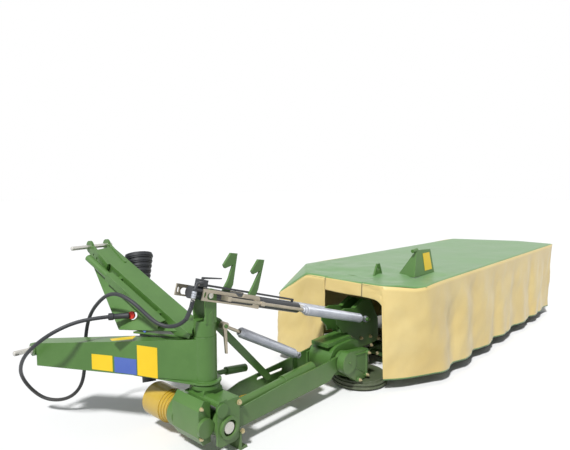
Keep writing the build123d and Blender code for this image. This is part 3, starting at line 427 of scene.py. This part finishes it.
# Hose ends: silver elbow with a red ring and a crimped sleeve, and the ribbed grip in its parking hole
hoseEnds = {"elbow": [(-46, -20, 874), (-47, -38, 875), (-58, -43, 874), (-78, -43, 870), (-92, -44, 852)],
            "elbowRadius": 0.0075, "stiffRadius": 0.0106,
            "sleeve": ((-93, -44, 848), (-106, -45, 806)),
            "sleeveRings": [(0, 0), (11.5, 0), (12.5, 3), (12.5, 9), (11.8, 11), (12.5, 13), (12.5, 20),
                            (11.8, 22), (12.5, 24), (12.5, 34), (9, 40), (9, 46), (0, 46)],
            "redRing": (0.039, 0.044, 0.0115),
            "stiff": [(-105, -45, 808), (-110, -44, 785), (-117, -41, 758), (-124, -30, 730),
                      (-131, -18, 700)],
            "gripEnd": (-204, 384, 660),
            "grip": [(0, 0), (13, 0), (19, 2), (19, 26), (15, 30), (15, 92), (17, 95), (17, 104), (12, 108),
                     (0, 108)]}


def bentTube(points, radius):
    holder = newLine("bending", points, radius, 3, 6)
    mesh = bpy.data.meshes.new_from_object(holder)
    tube = bmesh.new()
    tube.from_mesh(mesh)
    bpy.data.objects.remove(holder)
    bpy.data.meshes.remove(mesh)
    bmesh.ops.remove_doubles(tube, verts=tube.verts, dist=1e-5)
    bmesh.ops.recalc_face_normals(tube, faces=tube.faces)
    return tube


def paintFaces(bm, first, index):
    bm.faces.ensure_lookup_table()
    for face in bm.faces[first:]:
        face.material_index = index


def makeHoseEnds(settings):
    top, low = (spot(*place) for place in settings["sleeve"])
    back = (top - low).normalized()
    near, far, radius = settings["redRing"]
    bm = bmesh.new()
    joinInto(bm, bentTube(settings["elbow"], settings["elbowRadius"]))
    count = len(bm.faces)
    joinInto(bm, latheMesh(settings["sleeveRings"], low, back))
    paintFaces(bm, count, 1)
    count = len(bm.faces)
    addRod(bm, low + back * near, low + back * far, radius)
    paintFaces(bm, count, 2)
    count = len(bm.faces)
    joinInto(bm, bentTube(settings["stiff"], settings["stiffRadius"]))
    paintFaces(bm, count, 3)
    looks = [brightSteel, springSteel, redPlastic, blackRubber]
    return newPiece("hoseSleeve", bm, "cylinder", looks)


def makeGrip(settings):
    start, end = spot(*hose["route"][-1]), spot(*settings["gripEnd"])
    bm = latheMesh(settings["grip"], start - (end - start) * 0.01, end - start)
    piece = newPiece("hoseGrip", bm, "headstock", [blackRubber])
    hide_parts("hose_grip")
    return piece


makeHoseEnds(hoseEnds)
hoseGripPiece = makeGrip(hoseEnds)
print("hose made")

# Springs: close-wound wire, turned end fittings and eyes
linkPivot = Vector((0, 0, 803))
linkEye = Vector((1313, 0, 418))
linkRun = (linkEye - linkPivot).normalized()
linkSpan = (linkEye - linkPivot).length
springs = {
    "wire": 4.6, "outer": 31, "start": 705, "end": 1290, "side": 107,
    "startFitting": [(9.4, 2), (26, 2), (26, -3), (24, -14), (17, -16), (17, -30), (14, -32), (9.4, -32),
                     (9.4, 2)],
    "endFitting": [(0, -3), (26, -3), (26, 4), (15, 14), (12, 20), (12, 60), (0, 60)],
    "eye": [(14.3, -11), (20, -11), (22, -9), (22, 9), (20, 11), (14.3, 11), (14.3, -11)]}
coil = {"tightness": 2.04, "sides": 8, "steps": 16}  # pitch in wire radii, faces round the wire and a turn


def addCoil(bm, start, end, outer, wireRadius):
    run = end - start
    steps = coil["steps"]
    pitch = wireRadius * coil["tightness"] / 1000
    turns = int(run.length / pitch)
    ring = bmesh.new()
    reach = (outer - wireRadius) / 1000
    circle = bmesh.ops.create_circle(
        ring, segments=coil["sides"], radius=wireRadius / 1000,
        matrix=Matrix.Translation((reach, 0, 0)) @ Matrix.Rotation(math.pi / 2, 4, "X"))["verts"]
    lines = list({e for v in circle for e in v.link_edges})
    bmesh.ops.spin(ring, geom=circle + lines, cent=(0, 0, 0), axis=(0, 0, 1),
                   dvec=(0, 0, run.length / turns / steps), angle=math.tau * turns, steps=steps * turns)
    bmesh.ops.holes_fill(ring, edges=ring.edges, sides=coil["sides"])
    bmesh.ops.recalc_face_normals(ring, faces=ring.faces)
    ring.transform(aimed(start, run))
    joinInto(bm, ring)


def makeUpperSprings(settings):
    bm = bmesh.new()
    for side in (-1, 1):
        y = side * settings["side"]

        def along(run):
            point = linkPivot + linkRun * run
            return spot(point.x, y, point.z)
        addCoil(bm, along(settings["start"]), along(settings["end"]), settings["outer"], settings["wire"])
        joinInto(bm, latheMesh(settings["startFitting"], along(settings["start"]), linkRun))
        joinInto(bm, latheMesh(settings["endFitting"], along(settings["end"]), linkRun, segments=20))
        joinInto(bm, latheMesh(settings["eye"], along(linkSpan), (0, 1, 0)))
    piece = newPiece("upperSpringCoils", bm, "upper_springs", [springSteel], sharp=50)
    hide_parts("upper_springs")


makeUpperSprings(springs)

lowerSpring = {
    "pivot": (112, -18, 616), "foot": (705, -18, 300), "outer": 29, "wire": 4.4, "coil": (136, -40),
    "startFitting": [(12.3, 6), (24, 6), (24, 0), (20, -12), (12.3, -12), (12.3, 6)],
    "endFitting": [(0, -6), (24, -6), (22, 0), (12, 12), (12, 32), (0, 32)],
    "eye": [(10.3, -14), (18, -14), (20, -12), (20, 12), (18, 14), (10.3, 14), (10.3, -14)]}


def makeLowerSpring(settings):
    pivot = Vector(settings["pivot"])
    foot = Vector(settings["foot"])
    run = (foot - pivot).normalized()
    length = (foot - pivot).length
    first, last = settings["coil"]

    def along(distance):
        return spot(*(pivot + run * distance))
    bm = bmesh.new()
    addCoil(bm, along(first), along(length + last), settings["outer"], settings["wire"])
    joinInto(bm, latheMesh(settings["startFitting"], along(first), run))
    joinInto(bm, latheMesh(settings["endFitting"], along(length + last), run, segments=20))
    joinInto(bm, latheMesh(settings["eye"], along(length), (0, 1, 0)))
    piece = newPiece("lowerSpringCoil", bm, "lower_relief_spring", [springSteel], sharp=50)
    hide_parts("lower_relief_spring")


makeLowerSpring(lowerSpring)
print("springs made")

# Guard deck: green tarpaulin over the frame and a beige curtain hung round it
deck = {
    "top": 700, "hem": 74, "inner": 1192, "outer": 4092, "rear": -512, "thick": 0.0025,
    "flapX": 1345, "flapY": 152, "archTop": 608, "archShare": 0.0235, "archRound": 90, "cutHem": 128,
    "foldSize": 1.4, "outFold": 1.1, "inFold": 1.7, "wrinkle": (9, 3.4), "hemStart": 0.984,
    "curtainFaces": (420, 22), "tarpaulinFaces": (250, 64), "flapFaces": (60, 34),
    "smooth": 0.6, "step": 0.002, "underTop": 3, "underArch": 4, "archSquare": 5, "archCalm": 0.25,
    "hemWave": (5, 30), "cutAlong": (100, 250), "foldSlant": 0.004, "foldGrowth": (1.3, 1.4),
    "smallNoise": (46, 3.2), "fineNoise": (120, 5, 7), "wrinkleGrowth": 4,
    # curtain rows, from the arch round the rear: top x, top y, top drop, hem x, hem y
    "rows": [
        (1190, -156, 4, 1188, -156), (1190, -250, 2, 1187, -250), (1192, -318, 0, 1189, -322),
        (1250, -392, 4, 1262, -382), (1330, -470, 14, 1373, -446), (1400, -508, 10, 1500, -512),
        (1470, -514, 3, 1572, -534), (1600, -514, 0, 1720, -545), (1900, -514, 0, 1900, -546),
        (2300, -514, 0, 2290, -536), (2800, -514, 0, 2790, -536), (3400, -514, 0, 3380, -534),
        (3900, -514, 0, 3820, -532), (4075, -512, 0, 3985, -520), (4094, -490, 0, 4004, -490),
        (4094, -340, 0, 4006, -340), (4092, -190, 0, 4004, -190), (3946, 122, 0, 3905, 122),
        (3800, 430, 0, 3800, 440), (3300, 462, 0, 3300, 476), (2700, 500, 0, 2700, 518),
        (2100, 540, 0, 2100, 556), (1560, 576, 0, 1560, 586), (1400, 590, 54, 1410, 592),
        (1215, 600, 168, 1220, 598), (1190, 585, 176, 1188, 590), (1190, 460, 96, 1188, 470),
        (1190, 330, 12, 1188, 330), (1190, 240, 4, 1188, 240), (1190, 157, 4, 1188, 160)],
    # folds of the curtain: share of the way round, width, push outwards in millimetres
    "folds": [
        (0.078, 0.010, 9), (0.112, 0.016, -10), (0.140, 0.012, 12), (0.168, 0.010, -9), (0.196, 0.020, 11),
        (0.226, 0.008, -8), (0.244, 0.010, 9), (0.286, 0.014, -9), (0.312, 0.010, 8), (0.345, 0.008, -9),
        (0.362, 0.012, 9), (0.410, 0.016, -8), (0.452, 0.010, 8), (0.520, 0.014, 9), (0.560, 0.014, -10),
        (0.630, 0.020, 9), (0.700, 0.018, -9), (0.780, 0.020, 9), (0.850, 0.010, -14), (0.885, 0.014, 22),
        (0.915, 0.012, -20), (0.945, 0.012, 18), (0.972, 0.010, -10)]}


def rowAt(rows, share):
    lengths = [0.0]
    for before, after in zip(rows, rows[1:]):
        lengths.append(lengths[-1] + math.hypot(after[0] - before[0], after[1] - before[1]))
    want = share * lengths[-1]
    for index in range(len(rows) - 1):
        if want <= lengths[index + 1] or index == len(rows) - 2:
            local = (want - lengths[index]) / (lengths[index + 1] - lengths[index])
            break
    values = []
    for column in range(5):
        a = rows[max(index - 1, 0)][column]
        b = rows[index][column]
        c = rows[index + 1][column]
        d = rows[min(index + 2, len(rows) - 1)][column]
        curve = 2 * a - 5 * b + 4 * c - d + local * (3 * (b - c) + d - a)
        smooth = b + 0.5 * local * (c - a + local * curve)
        plain = b + (c - b) * local
        values.append(deck["smooth"] * smooth + (1 - deck["smooth"]) * plain)
    return values


def curtainPoint(share, drop):
    rows = deck["rows"]
    topX, topY, sunk, hemX, hemY = rowAt(rows, share)
    ahead = rowAt(rows, min(share + deck["step"], 1.0))
    behind = rowAt(rows, max(share - deck["step"], 0.0))
    run = Vector((ahead[0] - behind[0], ahead[1] - behind[1], 0)).normalized()
    outward = Vector((run.y, -run.x, 0))
    topZ = deck["top"] - deck["underTop"] - sunk
    waveHigh, waveOften = deck["hemWave"]
    hemZ = deck["hem"] + waveHigh * noise.noise(Vector((share * waveOften, 3.0, 0.0)))
    archStart = deck["archShare"]
    if share < archStart:
        side = share / archStart
        level = math.sqrt(max(0.0, 1 - side ** deck["archSquare"]))
        hemZ = deck["archTop"] - deck["underArch"] - deck["archRound"] * (1 - level)
    cutStart, cutEnd = deck["cutAlong"]
    if topX < deck["inner"] + 2 and cutStart < topY < cutEnd:
        hemZ = deck["cutHem"]
    push = 0.0
    for centre, width, amount in deck["folds"]:
        amount *= deck["outFold"] if amount > 0 else deck["inFold"]
        push += amount * math.exp(-((share - centre - deck["foldSlant"] * (drop - 0.5)) / width) ** 2)
    speed, power = deck["foldGrowth"]
    grow = math.sin(min(1.0, drop * speed) * math.pi / 2) ** power
    place = Vector((topX, topY, topZ)).lerp(Vector((hemX, hemY, hemZ)), drop)
    along, down = deck["smallNoise"]
    small = noise.noise(Vector((share * along, drop * down, 1.7)))
    along, slant, down = deck["fineNoise"]
    fine = noise.noise(Vector((share * along + drop * slant, drop * down, 8.3)))
    broad, narrow = deck["wrinkle"]
    push = push * grow + (small * broad + fine * narrow) * min(1.0, drop * deck["wrinkleGrowth"])
    if share < archStart:
        push *= deck["archCalm"]
    return place + outward * push * deck["foldSize"]


# Flat grid of one metre whose UV map is laid out in metres of cloth
def clothGrid(faces, flat):
    across, down = faces
    bm = bmesh.new()
    made = bmesh.ops.create_grid(bm, x_segments=across, y_segments=down, size=0.5)["verts"]
    uvLayer = bm.loops.layers.uv.new("cloth")
    for face in bm.faces:
        for loop in face.loops:
            loop[uvLayer].uv = ((loop.vert.co.x + 0.5) * flat[0], (loop.vert.co.y + 0.5) * flat[1])
    return bm, made


def finishCloth(bm, name, body, looks, slotName, offset, *stoodFor):
    bmesh.ops.recalc_face_normals(bm, faces=bm.faces)
    piece = newPiece(name, bm, body, looks, sharp=180)
    thick = piece.modifiers.new("clothThickness", "SOLIDIFY")
    thick.thickness = deck["thick"]
    thick.offset = offset
    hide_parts(*stoodFor)
    return piece


def makeCurtain():
    down = deck["curtainFaces"][1]
    bm, made = clothGrid(deck["curtainFaces"], (7.4, 0.64))
    for face in bm.faces:
        face.material_index = 1 if face.calc_center_median().y < -0.5 + 0.9 / down else 0
    for vertex in made:
        share = vertex.co.x + 0.5
        drop = 0.5 - vertex.co.y
        drop = drop * down / (down - 1) * deck["hemStart"] if drop < 1 - 0.5 / down else 1.0
        vertex.co = spot(*curtainPoint(share, drop))
    return finishCloth(bm, "deckCurtain", "cutter", [beigeCloth, greenCloth], "beige_curtain", 0,
                       "curtain_rear", "curtain_front", "curtain_inner", "curtain_outer")


# Tarpaulin: the edges it covers, the corner that slopes down and the lumps of what lies under it
cover = {
    "cornerX": 3800, "cornerFront": 430, "cornerBack": -190, "front": 600, "innerRear": -318, "rearX": 1400,
    "slopeY": 330, "slopeTurn": (0.757, 0.653), "slopeFall": 0.88, "ripples": (5.5, 2.2),
    "broadSize": (330, 240), "narrowSize": (120, 90), "calm": 0.7, "lively": 2.0, "livelyAt": (1500, 420),
    "calmEdge": 60, "roll": 14, "rollDrop": 9, "lift": 1.0, "overhang": 4, "crowding": (0.03, 0.0275),
    "notchMargin": (0.075, 0.068), "dip": (1360, -470, 90, 70, 12.0),
    "lumps": [(1477, -94, 60, 9), (1700, -255, 110, 5), (1290, 60, 90, 8), (1420, 250, 80, -9)]}


def frontEdge(x):
    if x > cover["cornerX"]:
        fall = cover["cornerFront"] - cover["cornerBack"]
        return cover["cornerFront"] - (x - cover["cornerX"]) * fall / (deck["outer"] - cover["cornerX"])
    fall = cover["front"] - cover["cornerFront"]
    return cover["front"] - (x - deck["inner"]) * fall / (cover["cornerX"] - deck["inner"])


def rearEdge(x):
    if x < cover["rearX"]:
        fall = cover["innerRear"] - deck["rear"]
        return cover["innerRear"] - (x - deck["inner"]) * fall / (cover["rearX"] - deck["inner"])
    return deck["rear"]


def tarpaulinPoint(x, side):
    low, high = rearEdge(x), frontEdge(x)
    y = low + (high - low) * side
    edge = min(y - low, high - y, x - deck["inner"], deck["outer"] - x)
    turnY, turnX = cover["slopeTurn"]
    beyond = (y - cover["slopeY"]) * turnY - (x - deck["inner"]) * turnX
    droop = max(0.0, beyond) * cover["slopeFall"]
    dipX, dipY, dipLong, dipWide, dipDeep = cover["dip"]
    droop += dipDeep * math.exp(-((x - dipX) / dipLong) ** 2 - ((y - dipY) / dipWide) ** 2)
    broad, narrow = cover["ripples"]
    sizeX, sizeY = cover["broadSize"]
    ripple = broad * noise.noise(Vector((x / sizeX, y / sizeY, 0.4)))
    sizeX, sizeY = cover["narrowSize"]
    ripple += narrow * noise.noise(Vector((x / sizeX, y / sizeY, 4.0)))
    livelyX, livelyWide = cover["livelyAt"]
    near = math.exp(-((x - livelyX) / livelyWide) ** 2)
    ripple *= cover["calm"] + cover["lively"] * near
    for lumpX, lumpY, wide, tall in cover["lumps"]:
        ripple += tall * math.exp(-((x - lumpX) ** 2 + (y - lumpY) ** 2) / wide ** 2)
    ripple *= min(1.0, max(edge, 0.0) / cover["calmEdge"])
    rolled = max(0.0, 1 - edge / cover["roll"])
    z = deck["top"] + cover["lift"] - droop + ripple - cover["rollDrop"] * rolled ** 2
    return Vector((x, y, z))


def inNotch(face, right, half):
    middle = face.calc_center_median()
    return middle.x < right and abs(middle.y) < half


def makeTarpaulin():
    bm, made = clothGrid(deck["tarpaulinFaces"], (2.9, 1.1))
    crowdAlong, crowdAcross = cover["crowding"]
    overhang = cover["overhang"]
    for vertex in made:  # rows crowd towards the edges, so that the roll has faces to bend
        share = vertex.co.x + 0.5
        side = vertex.co.y + 0.5
        side = side - crowdAcross * math.sin(2 * math.tau * side)
        share = share - crowdAlong * math.sin(math.tau * share)
        share = max(0.0, min(1.0, share))
        x = deck["inner"] - overhang + share * (deck["outer"] + 2 * overhang - deck["inner"])
        vertex.co = tarpaulinPoint(x, side) / 1000
    flapX, flapY = deck["flapX"] / 1000, deck["flapY"] / 1000
    right, half = cover["notchMargin"]
    cuts = [((flapX, 0, 0), (1, 0, 0)), ((0, flapY, 0), (0, 1, 0)), ((0, -flapY, 0), (0, 1, 0))]
    for place, normal in cuts:
        near = [f for f in bm.faces if inNotch(f, flapX + right, flapY + half)]
        parts = list({v for f in near for v in f.verts}) + list({e for f in near for e in f.edges}) + near
        bmesh.ops.bisect_plane(bm, geom=parts, plane_co=place, plane_no=normal)
    notch = [f for f in bm.faces if inNotch(f, flapX, flapY)]
    bmesh.ops.delete(bm, geom=notch, context="FACES")
    bmesh.ops.translate(bm, verts=bm.verts, vec=home)
    return finishCloth(bm, "deckTarpaulin", "cutter", [greenCloth], "green_tarpaulin", -1, "deck_cover")


# Flap over the link: level part, hanging part and how far both sag
flap = {"level": 150.0, "hang": 94.0, "gap": 3, "side": 1, "under": 2, "wave": 5, "waveSize": (90, 80),
        "waveShare": (0.6, 0.8), "sag": 7, "bulge": 3, "fall": 86, "belly": 4}


def makeFlap():
    level, hang = flap["level"], flap["hang"]
    bm, made = clothGrid(deck["flapFaces"], (0.3, 0.25))
    for face in bm.faces:
        face.material_index = 0 if face.calc_center_median().y > 0.5 - level / (level + hang) else 1
    sizeY, sizeRun = flap["waveSize"]
    levelShare, hangShare = flap["waveShare"]
    for vertex in made:
        y = vertex.co.x * 2 * (deck["flapY"] - flap["side"])
        run = (0.5 - vertex.co.y) * (level + hang)
        wave = flap["wave"] * noise.noise(Vector((y / sizeY, run / sizeRun, 2.0)))
        belly = math.cos(y / level * math.pi / 2)
        x = deck["flapX"] - flap["gap"]
        z = deck["top"] - flap["under"]
        if run < level:
            x -= run
            z -= flap["sag"] * belly * (run / level) ** 2
            z += wave * levelShare
        else:
            fall = (run - level) / hang
            x -= level + flap["bulge"] * math.sin(fall * math.pi / 2)
            x += wave * fall * hangShare
            z -= flap["sag"] + flap["fall"] * fall + flap["belly"] * belly * fall
        vertex.co = spot(x, y, z)
    return finishCloth(bm, "flapCloth", "guard_flap", [greenCloth, beigeCloth], "beige_curtain", 0,
                       "guard_flap")


curtainPiece = makeCurtain()
tarpaulinPiece = makeTarpaulin()
flapPiece = makeFlap()


def clothArea(piece):
    return sum(p.area for p in piece.data.polygons)


print("cloth areas", [round(clothArea(p), 3) for p in (curtainPiece, tarpaulinPiece, flapPiece)])
print("cloth made")

# Blank plates on the left arm: near run, far run, low and high z at the near end, then at the far end
arm = {
    "run": Vector((-0.5172, 0.8559, 0)), "side": Vector((-0.8559, -0.5172, 0)), "half": 54, "taper": 9 / 958,
    "lift": 0.0015,
    "plates": [(500, 622, 372, 458, 376, 460, yellowPlate), (362, 489, 365, 449, 370, 454, bluePlate),
               (243, 357, 356, 520, 364, 527, yellowPlate)]}


def makePlate(name, corners, body, look, lift, thickness, side=None):
    bm = bmesh.new()
    face = bm.faces.new([bm.verts.new(corner) for corner in corners])
    face.normal_update()
    if side and face.normal.dot(Vector(side)) < 0:
        face.normal_flip()
        face.normal_update()
    bmesh.ops.translate(bm, verts=bm.verts, vec=face.normal * lift)
    bmesh.ops.solidify(bm, geom=bm.faces[:], thickness=thickness)
    bmesh.ops.recalc_face_normals(bm, faces=bm.faces)
    newPiece(name, bm, body, [look])


def armFace(run, z):
    point = arm["run"] * run + arm["side"] * (arm["half"] - arm["taper"] * run)
    return spot(point.x, point.y, z)


for index, (near, far, lowNear, highNear, lowFar, highFar, look) in enumerate(arm["plates"]):
    corners = [armFace(far, lowFar), armFace(near, lowNear), armFace(near, highNear), armFace(far, highFar)]
    makePlate("armPlate%d" % (index + 1), corners, "headstock", look, arm["lift"], arm["lift"])

# More blank plates, each turned towards the side it is read from
signs = {
    "mastPlate": ("headstock", bluePlate, (-0.6, -0.7, 0.3),
                  [(-147, 335, 652), (-135, 269, 624), (-175, 286, 578), (-184, 352, 610)]),
    "armStrip": ("headstock", yellowPlate, (0, 0, 1),
                 [(-324, 380, 560), (-205, 325, 560), (-243, 292, 560), (-333, 342, 560)]),
    "beamPlate": ("beam", yellowPlate, (0, -1, 0),
                  [(264, 62, 109), (373, 62, 102), (373, 62, 138), (264, 62, 150)]),
    "stopPlate": ("cutter", yellowPlate, (0, -1, 0),
                  [(1716, -333.6, 728), (1822, -333.6, 728), (1812, -312.6, 850), (1716, -312.6, 850)])}
signPlate = {"lift": 0.0012, "thickness": 0.0009}
for name, (body, look, side, corners) in signs.items():
    makePlate(name, [spot(*corner) for corner in corners], body, look, signPlate["lift"],
              signPlate["thickness"], side)

# Bolts seen from the rear: body, face's y, width across flats, places as (x, z)
boltSets = {
    "bracketBolts": ("cutter", -68, 22, [(1186, 311), (1317, 273), (1430, 260), (1445, 191), (1536, 221),
                                         (1526, 110), (1201, 117), (1401, 391)]),
    "caseBolts": ("cutter", -220, 19, [(1187, 238), (1172, 92), (1088, 82)]),
    "hingeBolts": ("swing", -178, 24, [(70, 259), (89, 98)]),
    "housingBolts": ("swing", -124, 17, [(-130, 272), (-134, 120)])}


def makeBolts(name, body, y, across, places):
    bm = bmesh.new()
    for x, z in places:
        addBolt(bm, spot(x, y, z), (0, -1, 0), across)
    newPiece(name, bm, body, [yellowZinc])


for name, (body, y, across, places) in boltSets.items():
    makeBolts(name, body, y, across, places)

# Wire hook that carries the hose over the mast
hoseHook = {
    "wire": 0.004,
    "bend": [(-220, 571, 700), (-214, 590, 735), (-205, 623, 764), (-186, 606, 784), (-166, 574, 792),
             (-160, 563, 780)]}
hookWire = bentTube(hoseHook["bend"], hoseHook["wire"])
newPiece("hoseHook", hookWire, "headstock", [brightSteel])

# Red stopper in the mast plate's hole beside the grip
stopper = {"centre": (-190, 380, 660), "side": (-0.93, -0.33, 0.15),
           "rings": [(0, 0), (21, 0), (21, 9), (18, 12), (13, 12), (12, 9), (0, 9)]}
newPiece("hoseStopper", latheMesh(stopper["rings"], spot(*stopper["centre"]), stopper["side"]), "headstock",
         [redPlastic])

# Turned end of the hinge pin in the block's bore
hingePin = {"centre": (0, -186, 150), "rings": [(0, 0), (30, 0), (33, 3), (33, 30), (0, 30)]}
newPiece("hingePinEnd", latheMesh(hingePin["rings"], spot(*hingePin["centre"]), (0, 1, 0)), "swing",
         [brightSteel])
print("plates, bolts and small pieces made")

# Light: soft sky and one broad sun from the upper left
light = {"sun": 3.3, "angle": 6, "from": (-0.75, -0.3, 1.0), "sky": 0.30, "skyTint": (0.93, 0.96, 1.0, 1)}
floorLook = {"seen": (0.94, 0.94, 0.94, 1), "bounce": (0.5, 0.5, 0.5, 1), "rough": 0.9, "half": 25}


def seenRays(tree):
    path = addNode(tree, "ShaderNodeLightPath")
    seen = path.outputs["Is Camera Ray"]
    for label in ("Is Glossy Ray", "Is Transmission Ray"):
        either = addNode(tree, "ShaderNodeMath", operation="MAXIMUM")
        wire(tree, seen, either.inputs[0])
        wire(tree, path.outputs[label], either.inputs[1])
        seen = either.outputs["Value"]
    return seen


def setLight(settings):
    world = bpy.data.worlds.new("sky")
    world.use_nodes = True
    tree = world.node_tree
    back = tree.nodes["Background"]
    back.inputs["Color"].default_value = settings["skyTint"]
    back.inputs["Strength"].default_value = settings["sky"]
    plain = addNode(tree, "ShaderNodeBackground")
    plain.inputs["Color"].default_value = (1, 1, 1, 1)
    plain.inputs["Strength"].default_value = 1.0
    choose = addNode(tree, "ShaderNodeMixShader")
    wire(tree, seenRays(tree), choose.inputs["Fac"])
    wire(tree, back.outputs["Background"], choose.inputs[1])
    wire(tree, plain.outputs["Background"], choose.inputs[2])
    wire(tree, choose.outputs["Shader"], tree.nodes["World Output"].inputs["Surface"])
    bpy.context.scene.world = world
    data = bpy.data.lights.new("sun", "SUN")
    data.energy = settings["sun"]
    data.angle = math.radians(settings["angle"])
    lamp = bpy.data.objects.new("sun", data)
    lamp.rotation_mode = "QUATERNION"
    lamp.rotation_quaternion = Vector(settings["from"]).to_track_quat("Z", "Y")
    bpy.context.scene.collection.objects.link(lamp)


def makeFloor(settings):
    bm = bmesh.new()
    bmesh.ops.create_grid(bm, x_segments=1, y_segments=1, size=settings["half"])
    mesh = bpy.data.meshes.new("floor")
    bm.to_mesh(mesh)
    bm.free()
    material = bpy.data.materials.new("paleFloor")
    material.use_nodes = True
    tree = material.node_tree
    shader = tree.nodes["Principled BSDF"]
    shader.inputs["Roughness"].default_value = settings["rough"]
    colour = addNode(tree, "ShaderNodeMix", data_type="RGBA")
    colour.inputs[6].default_value = settings["bounce"]
    colour.inputs[7].default_value = settings["seen"]
    wire(tree, seenRays(tree), colour.inputs[0])
    wire(tree, colour.outputs[2], shader.inputs["Base Color"])
    mesh.materials.append(material)
    floor = bpy.data.objects.new("floor", mesh)
    floor.location = (0, 0, -0.001)
    bpy.context.scene.collection.objects.link(floor)


setLight(light)
makeFloor(floorLook)
bpy.context.scene.view_settings.view_transform = "Standard"
print("light and floor set")
